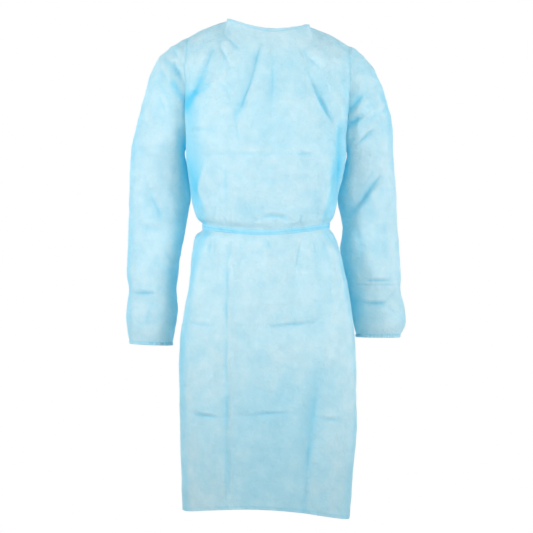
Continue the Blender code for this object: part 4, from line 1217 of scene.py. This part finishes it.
def cloth_material(name, pale, fuller, see_through):
    """Spunbonded non-woven: pale, matt and partly translucent, with cloudy fibres, rows of tiny
    bond points, and a fuller colour where seams lay it double, which also carries the painted
    shade of the folds, hollows and sides."""
    material = bpy.data.materials.new(name)
    material.use_nodes = True
    tree = material.node_tree
    tree.nodes.clear()
    place = node(tree, "ShaderNodeTexCoord").outputs["Object"]
    flat_place = node(tree, "ShaderNodeUVMap", uv_map="cloth").outputs["UV"]
    fibres = noise(tree, mapped(tree, flat_place, (260.0, 900.0)), 1.0, 4.0, 0.7)
    colour = cloth_colour(tree, place, fibres, pale, fuller)
    relief = cloth_relief(tree, place, flat_place, fibres)
    matt = {"Roughness": 0.72, "Specular IOR Level": 0.25, "Base Color": colour}
    sheen = {"Sheen Weight": 0.12, "Sheen Roughness": 0.5, "Normal": relief}
    lit = node(tree, "ShaderNodeBsdfPrincipled", {**matt, **sheen})
    lit_from_behind = node(tree, "ShaderNodeBsdfTranslucent", {"Color": colour, "Normal": relief})
    both = {0: see_through, 1: lit.outputs["BSDF"], 2: lit_from_behind.outputs["BSDF"]}
    shader = node(tree, "ShaderNodeMixShader", both).outputs["Shader"]
    node(tree, "ShaderNodeOutputMaterial", {"Surface": shader})
    return material


PALE = (0.868, 0.947, 0.964)
PALE_BAND = (0.80, 0.94, 0.975)
# the fuller colour: doubled cloth at seams, hems and bands, and also painted shade in folds,
# hollows and on the sides
FULLER_AND_PAINTED_SHADE = (0.25, 0.785, 0.945)
cloth = cloth_material("nonwoven_cloth", PALE, FULLER_AND_PAINTED_SHADE, 0.66)
band = cloth_material("nonwoven_band", PALE_BAND, FULLER_AND_PAINTED_SHADE, 0.55)

# ---------------------------------------------------------------- cloth panels

pieces, normals = skin()

# Each panel's cut: its flat size and area, what it hangs on, and the edges that draw back
# from a seam, each with the stretch of it that is sewn
Cut = namedtuple("Cut", "flat area rests_on seams")

ALL = np.s_[:]
SHOULDERS = np.r_[0 : SHOULDER_COLUMNS + 1, -SHOULDER_COLUMNS - 1 : 0]
LEFT_END, RIGHT_END = np.s_[: SHOULDER_COLUMNS + 1], np.s_[-SHOULDER_COLUMNS - 1 :]
SLEEVES = ["sleeve_left_cloth", "sleeve_right_cloth"]
FRONT = ["front_panel_cloth"]

CUTS = {
    "front_panel": Cut((0.557, 1.177), 0.558, SLEEVES,
                       {"top": SHOULDERS, "left": ALL, "right": ALL}),
    "back_panel_left": Cut((0.332, 1.166), 0.320, FRONT, {"top": LEFT_END, "left": ALL}),
    "back_panel_right": Cut((0.331, 1.164), 0.318, FRONT, {"top": RIGHT_END, "right": ALL}),
    "sleeve_left": Cut((0.563, 0.705), 0.2305, FRONT, {"top": ALL}),
    "sleeve_right": Cut((0.585, 0.745), 0.2434, FRONT, {"top": ALL}),
}


def make_panel(name, piece, cut):
    """A cut panel or sleeve in place of its solid."""
    outer = trimmed(piece.grid, cut.seams)
    inner = outer - normals[name] * SHELL
    made = shell(name + "_cloth", outer, inner, piece.deep, cloth, piece.ring)
    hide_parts(name)


for name, piece in pieces.items():
    make_panel(name, piece, CUTS[name])

# ---------------------------------------------------------------- neck binding


def neck_edge():
    """The neck edge once round, from the right back's corner to the left back's, with
    the skin's normals there and the way on past the edge."""
    stretches = []
    for name, columns in (
        ("back_panel_right", np.s_[: BACK_NECK_COLUMNS + 1]),
        ("front_panel", np.s_[SHOULDER_COLUMNS : SHOULDER_COLUMNS + NECK_COLUMNS + 1]),
        ("back_panel_left", np.s_[SHOULDER_COLUMNS:]),
    ):
        edge, normal = pieces[name].grid[0][columns], normals[name][0][columns]
        onward = edge - pieces[name].grid[2][columns]
        onward -= (onward * normal).sum(axis=1, keepdims=True) * normal
        onward /= np.linalg.norm(onward, axis=1, keepdims=True)
        stretches.append((edge, normal, onward))
    found = []
    for right, front, left in zip(*stretches):
        corners = (right[-1:] + front[:1]) / 2, (front[-1:] + left[:1]) / 2
        found.append(np.concatenate([right[:-1], corners[0], front[1:-1], corners[1], left[1:]]))
    return found


# The binding's section, from the foot of its outer leg over the edge to the foot of its
# inner leg: how far past the neck edge, and how far out from the cloth's middle.
BINDING_SECTION = [
    (-0.0030, 0.0007),
    (-0.0022, 0.0010),
    (0.0000, 0.0011),
    (0.0022, 0.0012),
    (0.0045, 0.0012),
    (0.0060, 0.0011),
    (0.0068, 0.0006),
    (0.0070, 0.0000),
    (0.0068, -0.0006),
    (0.0060, -0.0011),
    (0.0040, -0.0012),
    (0.0010, -0.0012),
    (-0.0022, -0.0010),
]


def make_band(name, outer, inner, deep, replaced, ring=False):
    """A strip of the bands' cloth in place of one of the solids."""
    piece = shell(name, outer, inner, deep, band, ring)
    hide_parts(replaced)


def grid_normals(grid, ring=False):
    """Unit normals at the points of one grid."""
    sums = own_normals(grid, ring)
    return (sums / np.linalg.norm(sums, axis=1, keepdims=True)).reshape(grid.shape)


def make_binding():
    """The strip folded over the neck edge, a little puffed between its stitches."""
    edge, out, onward = neck_edge()
    ripple = lattice_noise(edge, 0.016, 7) * 0.0005
    rows = []
    for past, lift in BINDING_SECTION:
        puff = ripple * soft_step(past, -0.002, 0.004) + lift
        rows.append(edge + onward * past + out * (puff - SHELL / 2)[:, None])
    outer = np.array(rows[::-1])
    deep = np.full(outer.shape[:2], 0.04)
    deep[-2:] = 0.3
    make_band(
        "neck_binding_strip",
        outer,
        outer - grid_normals(outer) * BAND_SHELL,
        deep,
        "neck_binding",
    )


make_binding()

# ---------------------------------------------------------------- waist belt


def waist_loop(rows):
    """The body's points and normals under the belt, once round from the right back's
    side of the lap's edge: right back, front, left back."""
    left = pieces["back_panel_left"].grid[rows[0]]
    right = pieces["back_panel_right"].grid[rows[0]]
    clear_of_lap = right[:, 0] < left[-1, 0] - LAP_SPARE
    stretches = (
        ("back_panel_right", np.flatnonzero(clear_of_lap)[:-1]),
        ("front_panel", np.arange(SHOULDER_COLUMNS * 2 + NECK_COLUMNS)),
        ("back_panel_left", np.arange(SHOULDER_COLUMNS + BACK_NECK_COLUMNS + 1)),
    )
    grid = np.concatenate([pieces[n].grid[rows][:, c] for n, c in stretches], axis=1)
    normal = np.concatenate([normals[n][rows][:, c] for n, c in stretches], axis=1)
    return grid, normal


def smooth_round(values, passes):
    """Evens out values along the closed columns of a grid."""
    for _ in range(passes):
        values = (np.roll(values, 1, axis=1) + 2 * values + np.roll(values, -1, axis=1)) / 4
    return values


# A nip's fuller colour is painted shade where the belt is pressed in.
NIP_GAIN = 260  # how much narrower and fuller in colour a nip makes the belt, a metre


def nips_at(grid, normal):
    """How far the belt is pressed in at each point."""
    depth = np.zeros(grid.shape[:2])
    for nip in NIPS:
        seen = normal[..., 1] < 0 if nip.face == "front" else normal[..., 1] > 0
        depth += seen * nip.depth * line_at(grid[..., 0], nip.x, nip.width)
    return depth


def make_belt():
    """The strip round the waist, folded in along one line, rolled, twisted and nipped."""
    rows = np.arange(row_of("belt top"), row_of("belt foot") + 1)
    grid, out = waist_loop(rows)
    out = smooth_round(out, 12)
    out /= np.linalg.norm(out, axis=2, keepdims=True)
    share = np.linspace(0, 1, len(rows))[:, None]
    nipped = nips_at(grid, out)
    fold = line_at(share, 0.60 + 0.20 * lattice_noise(grid, 0.085, 10), 0.11)
    roll = np.sin(pi * share) ** 0.5
    twist = lattice_noise(grid, 0.020, 9)
    lift = BELT_CLEAR + 0.0008 + 0.0011 * roll - 0.0007 * fold + 0.0004 * twist * roll
    lift = np.maximum(lift - nipped, BELT_CLEAR)
    outer = smooth_round(grid, 3) + out * lift[..., None]
    middle_z = outer[..., 2].mean(axis=0, keepdims=True)
    narrowed = 1 - NIP_GAIN * nipped - 0.10 * lattice_noise(grid, 0.045, 8) ** 2
    outer[..., 2] = middle_z + (outer[..., 2] - middle_z) * narrowed
    # the belt's own fuller colour, fuller along its folded-in line, with painted shade in the
    # nips and along its rolled foot edge
    deep = 0.34 + 0.42 * fold + NIP_GAIN * nipped + 0.20 * line_at(share, 1.0, 0.10)
    make_band(
        "waist_belt_strip",
        outer,
        outer - out * BAND_SHELL,
        deep,
        "waist_belt",
        ring=True,
    )


make_belt()

# ---------------------------------------------------------------- cuffs

CUFF_HEIGHT = 0.008
CUFF_LAYER = 0.0009  # between the middles of the hem's two layers
CUFF_COLUMNS = 480
CUFF_GATHERS = 38


def make_cuff(side):
    """An elasticated hem: a band turned in over the elastic, with fine gathers and the
    groove of its seam."""
    sleeve = pieces["sleeve_" + side].grid
    last, before = sleeve[-1], sleeve[-4]
    middle = last.mean(axis=0)
    down = middle - before.mean(axis=0)
    down /= np.linalg.norm(down)
    closed = np.concatenate([last, last[:1]])
    ring = at_shares(closed, np.linspace(0, 1, CUFF_COLUMNS + 1))[:-1] - middle
    out = ring / np.linalg.norm(ring, axis=1, keepdims=True)
    turn = np.arange(CUFF_COLUMNS) / CUFF_COLUMNS * 2 * pi
    wave = np.sin(turn * CUFF_GATHERS + 1.4 * np.sin(turn * 5) + 0.8 * np.sin(turn * 11 + 1))
    wave = wave * (0.75 + 0.25 * np.sin(turn * 7 + 2))
    outer_leg = [(share, 0.0) for share in np.linspace(0, 0.94, 9)]
    inner_leg = [(share, -CUFF_LAYER) for share in np.linspace(0.94, 0.06, 7)]
    rows, deep = [], []
    for share, shift in outer_leg + [(1.0, -CUFF_LAYER / 2)] + inner_leg:
        pull = 0.0007 * wave * np.sin(pi * mix(0.25, 0.85, share))
        belly = 0.0006 * np.sin(pi * share)
        seam = line_at(share, 0.2, 0.1) * (shift == 0)
        lift = (pull + belly + shift - 0.0004 * seam)[:, None]
        rows.append(middle + ring + out * lift + down * (SEAM_GAP + share * CUFF_HEIGHT))
        # painted shade in the gathers' troughs, painted highlight on their crests, and the mark
        # of the seam
        deep.append((0.15 - 0.08 * wave + 0.35 * seam).clip(0, 1))
    outer = np.array(rows)
    inner = outer - grid_normals(outer, True) * SHELL
    make_band(
        "cuff_" + side + "_band",
        outer,
        inner,
        np.array(deep),
        "cuff_" + side,
        ring=True,
    )


make_cuff("left")
make_cuff("right")

# ---------------------------------------------------------------- ties and knots


def point_on(piece_grid, piece_normals, x, z):
    """The point of a back panel's skin at this x and z, and the normal there."""
    found = []
    for values in (piece_grid, piece_normals):
        levels = [
            [np.interp(-x, -row[:, 0], own[:, k]) for k in (0, 1, 2)]
            for row, own in zip(piece_grid, values)
        ]
        levels = np.array(levels)
        heights = [np.interp(-x, -row[:, 0], row[:, 2]) for row in piece_grid]
        found.append([np.interp(-z, -np.array(heights), levels[:, k]) for k in (0, 1, 2)])
    point, normal = np.array(found)
    return point, normal / np.linalg.norm(normal)


TIE_CELLS, TIE_ACROSS = 60, 8


def make_tie(tie):
    """A strip folded once along its length, hanging from its knot, a little curled."""
    grid, ways = pieces[tie.panel].grid[::3, ::2], normals[tie.panel][::3, ::2]
    sides = np.linspace(1, -1, TIE_ACROSS + 1)
    points = []
    for share in np.linspace(0, 1, TIE_CELLS + 1):
        x, z = mix(tie.top_x, tie.foot_x, share), mix(tie.top_z, tie.foot_z, share)
        half = mix(TIE_PINCH, TIE_WIDTH, float(soft_step(share, 0, 0.3))) / 2
        wave = 0.0004 * np.sin(share * 23 + tie.top_x * 900)
        pinched = 0.0006 * (1 - float(soft_step(share, 0, 0.25)))
        row = []
        for side in sides:
            point, way = point_on(grid, ways, x + side * half, z)
            curl = wave + 0.0003 * side * np.sin(share * 11)
            bulge = 0.0007 * (1 - side**2) + pinched * np.cos(side * 3 * pi)
            row.append(point + way * (TIE_CLEAR + curl + bulge))
        points.append(row)
    outer = np.array(points)
    make_band(
        tie.name + "_strip",
        outer,
        outer - grid_normals(outer) * BAND_SHELL,
        np.tile(0.15 + 0.45 * line_at(abs(sides), 0, 0.2), (TIE_CELLS + 1, 1)),
        tie.name,
    )


for tie in TIES:
    make_tie(tie)

KNOT_TURNS, KNOT_SIDES = 40, 20

# The two straps of a knot: how each one leans, and how far it is shifted to the back
KNOT_STRAPS = ((0.55, 0.0), (-0.65, 0.12))


def knot_strap(size, strand, lean, shift):
    """Points of one closed strap round the middle of a knot, a ring of them each turn."""
    a = (2 * pi * np.arange(KNOT_TURNS) / KNOT_TURNS)[:, None]
    b = 2 * pi * np.arange(KNOT_SIDES) / KNOT_SIDES
    fat = 0.17 + 0.02 * np.cos(3 * b + a * 2)
    wide = np.cos(b) * fat
    x = size.x * (0.36 + 0.55 * wide) * np.cos(a)
    y = size.y * (shift + 0.20 * np.cos(2 * a + strand) + 1.35 * fat * np.sin(b))
    z = size.z * ((0.26 + 0.95 * wide) * np.sin(a) + 0.30 * lean * np.cos(a))
    return np.stack([x, y, z], axis=-1).reshape(-1, 3)


def make_knot(name, replaced):
    """A half knot: two soft straps crossing in a small, pulled-in bundle."""
    low, high = (np.array(corner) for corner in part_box(replaced))
    size = Vector(high - low)
    count = KNOT_TURNS * KNOT_SIDES
    index = np.arange(count).reshape(KNOT_TURNS, KNOT_SIDES)
    index = np.concatenate([index, index[:1]])
    straps, faces = [], []
    for strand, (lean, shift) in enumerate(KNOT_STRAPS):
        straps.append(knot_strap(size, strand, lean, shift))
        faces.append(cells_of(index + strand * count, ring=True))
    margin = (high - low) * 0.02
    points = (np.concatenate(straps) + (low + high) / 2).clip(low + margin, high - margin)
    faces = np.concatenate(faces)
    uv = points[faces.reshape(-1)][:, [0, 2]]
    deep = np.full(len(points), 0.3)
    knot = dressed(name, points, faces, uv, deep, band)
    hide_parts(replaced)


make_knot("neck_knot_wrap", "neck_knot")
make_knot("belt_knot_wrap", "belt_knot")

# ---------------------------------------------------------------- floor, light, camera

FLOOR_Z = -1.40
FLOOR_RADIUS = 0.75
FLOOR_SIDES = 96
FLOOR_COLOUR = (0.72, 0.73, 0.74)


def floor_material():
    material = bpy.data.materials.new("pale_floor")
    material.use_nodes = True
    tree = material.node_tree
    shader = tree.nodes["Principled BSDF"]
    shader.inputs["Roughness"].default_value = 0.6
    grain = node(tree, "ShaderNodeTexNoise", {"Scale": 9.0}).outputs["Fac"]
    darker = [tone * 0.985 for tone in FLOOR_COLOUR]
    tone = mixed(tree, grain, (*darker, 1), (*FLOOR_COLOUR, 1))
    tree.links.new(tone, shader.inputs["Base Color"])
    return material


def make_floor():
    mesh = bpy.data.meshes.new("floor")
    turns = np.linspace(0, 2 * pi, FLOOR_SIDES + 1)[:-1]
    ring = [(FLOOR_RADIUS * np.cos(t), FLOOR_RADIUS * np.sin(t), FLOOR_Z) for t in turns]
    mesh.from_pydata(ring, [], [tuple(range(FLOOR_SIDES))])
    mesh.materials.append(floor_material())
    floor = bpy.data.objects.new("floor", mesh)
    bpy.context.scene.collection.objects.link(floor)


make_floor()


# The lamps: degrees round from the front to the left, height, distance from the middle,
# size, power, how widely they spread, and the height they aim at
Lamp = namedtuple("Lamp", "name turn height away size watts spread aim")

LAMPS = [
    Lamp("key", -52, 0.00, 2.4, 0.7, 3.6, 52, -0.33),
    Lamp("fill", 46, -0.12, 2.6, 1.1, 4.2, 52, -0.34),
    Lamp("side_left", 95, -0.10, 2.6, 1.1, 1.8, 58, -0.32),
    Lamp("side_right", -95, -0.10, 2.6, 1.1, 1.1, 58, -0.32),
    Lamp("back_left", 150, -0.10, 2.6, 1.1, 1.6, 58, -0.32),
    Lamp("back_right", -150, -0.10, 2.6, 1.1, 1.6, 58, -0.32),
]


def light_up(lamp):
    data = bpy.data.lights.new(lamp.name, "AREA")
    data.shape = "RECTANGLE"
    data.size = data.size_y = lamp.size
    data.energy = lamp.watts
    data.spread = radians(lamp.spread)
    turn = radians(lamp.turn)
    place = Vector((lamp.away * sin(turn), -lamp.away * cos(turn), lamp.height))
    made = bpy.data.objects.new(lamp.name, data)
    made.location = place
    made.rotation_mode = "QUATERNION"
    made.rotation_quaternion = (Vector((0, 0, lamp.aim)) - place).to_track_quat("-Z", "Y")
    made.visible_camera = False
    bpy.context.scene.collection.objects.link(made)


for lamp in LAMPS:
    light_up(lamp)

SKY_BELOW, SKY_ABOVE = 0.68, 0.66  # strength of the soft light from the sky


def make_world():
    """Soft light from all round, seen as plain white behind the gown."""
    world = bpy.data.worlds.new("studio")
    bpy.context.scene.world = world
    world.use_nodes = True
    tree = world.node_tree
    tree.nodes.clear()
    way = node(tree, "ShaderNodeTexCoord").outputs["Generated"]
    height = node(tree, "ShaderNodeSeparateXYZ", {"Vector": way}).outputs["Z"]
    strength = spread_over(tree, height, -0.7, 0.3, SKY_BELOW, SKY_ABOVE, "SMOOTHSTEP")
    sky = {"Color": (0.97, 0.99, 1.0, 1), "Strength": strength}
    soft = node(tree, "ShaderNodeBackground", sky).outputs["Background"]
    white = {"Color": (1, 1, 1, 1), "Strength": 1.0}
    seen = node(tree, "ShaderNodeBackground", white).outputs["Background"]
    to_camera = node(tree, "ShaderNodeLightPath").outputs["Is Camera Ray"]
    both = node(tree, "ShaderNodeMixShader", {0: to_camera, 1: soft, 2: seen})
    node(tree, "ShaderNodeOutputWorld", {"Surface": both.outputs["Shader"]})


make_world()

CAMERA_PLACE = (-0.0023, -4.0, -0.5083)
CAMERA_ANGLE = 17.39  # degrees across the frame
SENSOR_WIDTH = 36.0


def make_camera():
    data = bpy.data.cameras.new("camera")
    data.sensor_fit = "HORIZONTAL"
    data.sensor_width = SENSOR_WIDTH
    data.lens = SENSOR_WIDTH / 2 / tan(radians(CAMERA_ANGLE / 2))
    data.clip_start, data.clip_end = 0.05, 60.0
    camera = bpy.data.objects.new("camera", data)
    camera.location = CAMERA_PLACE
    camera.rotation_euler = (pi / 2, 0, 0)
    bpy.context.scene.collection.objects.link(camera)
    bpy.context.scene.camera = camera


make_camera()
bpy.context.scene.view_settings.view_transform = "Standard"
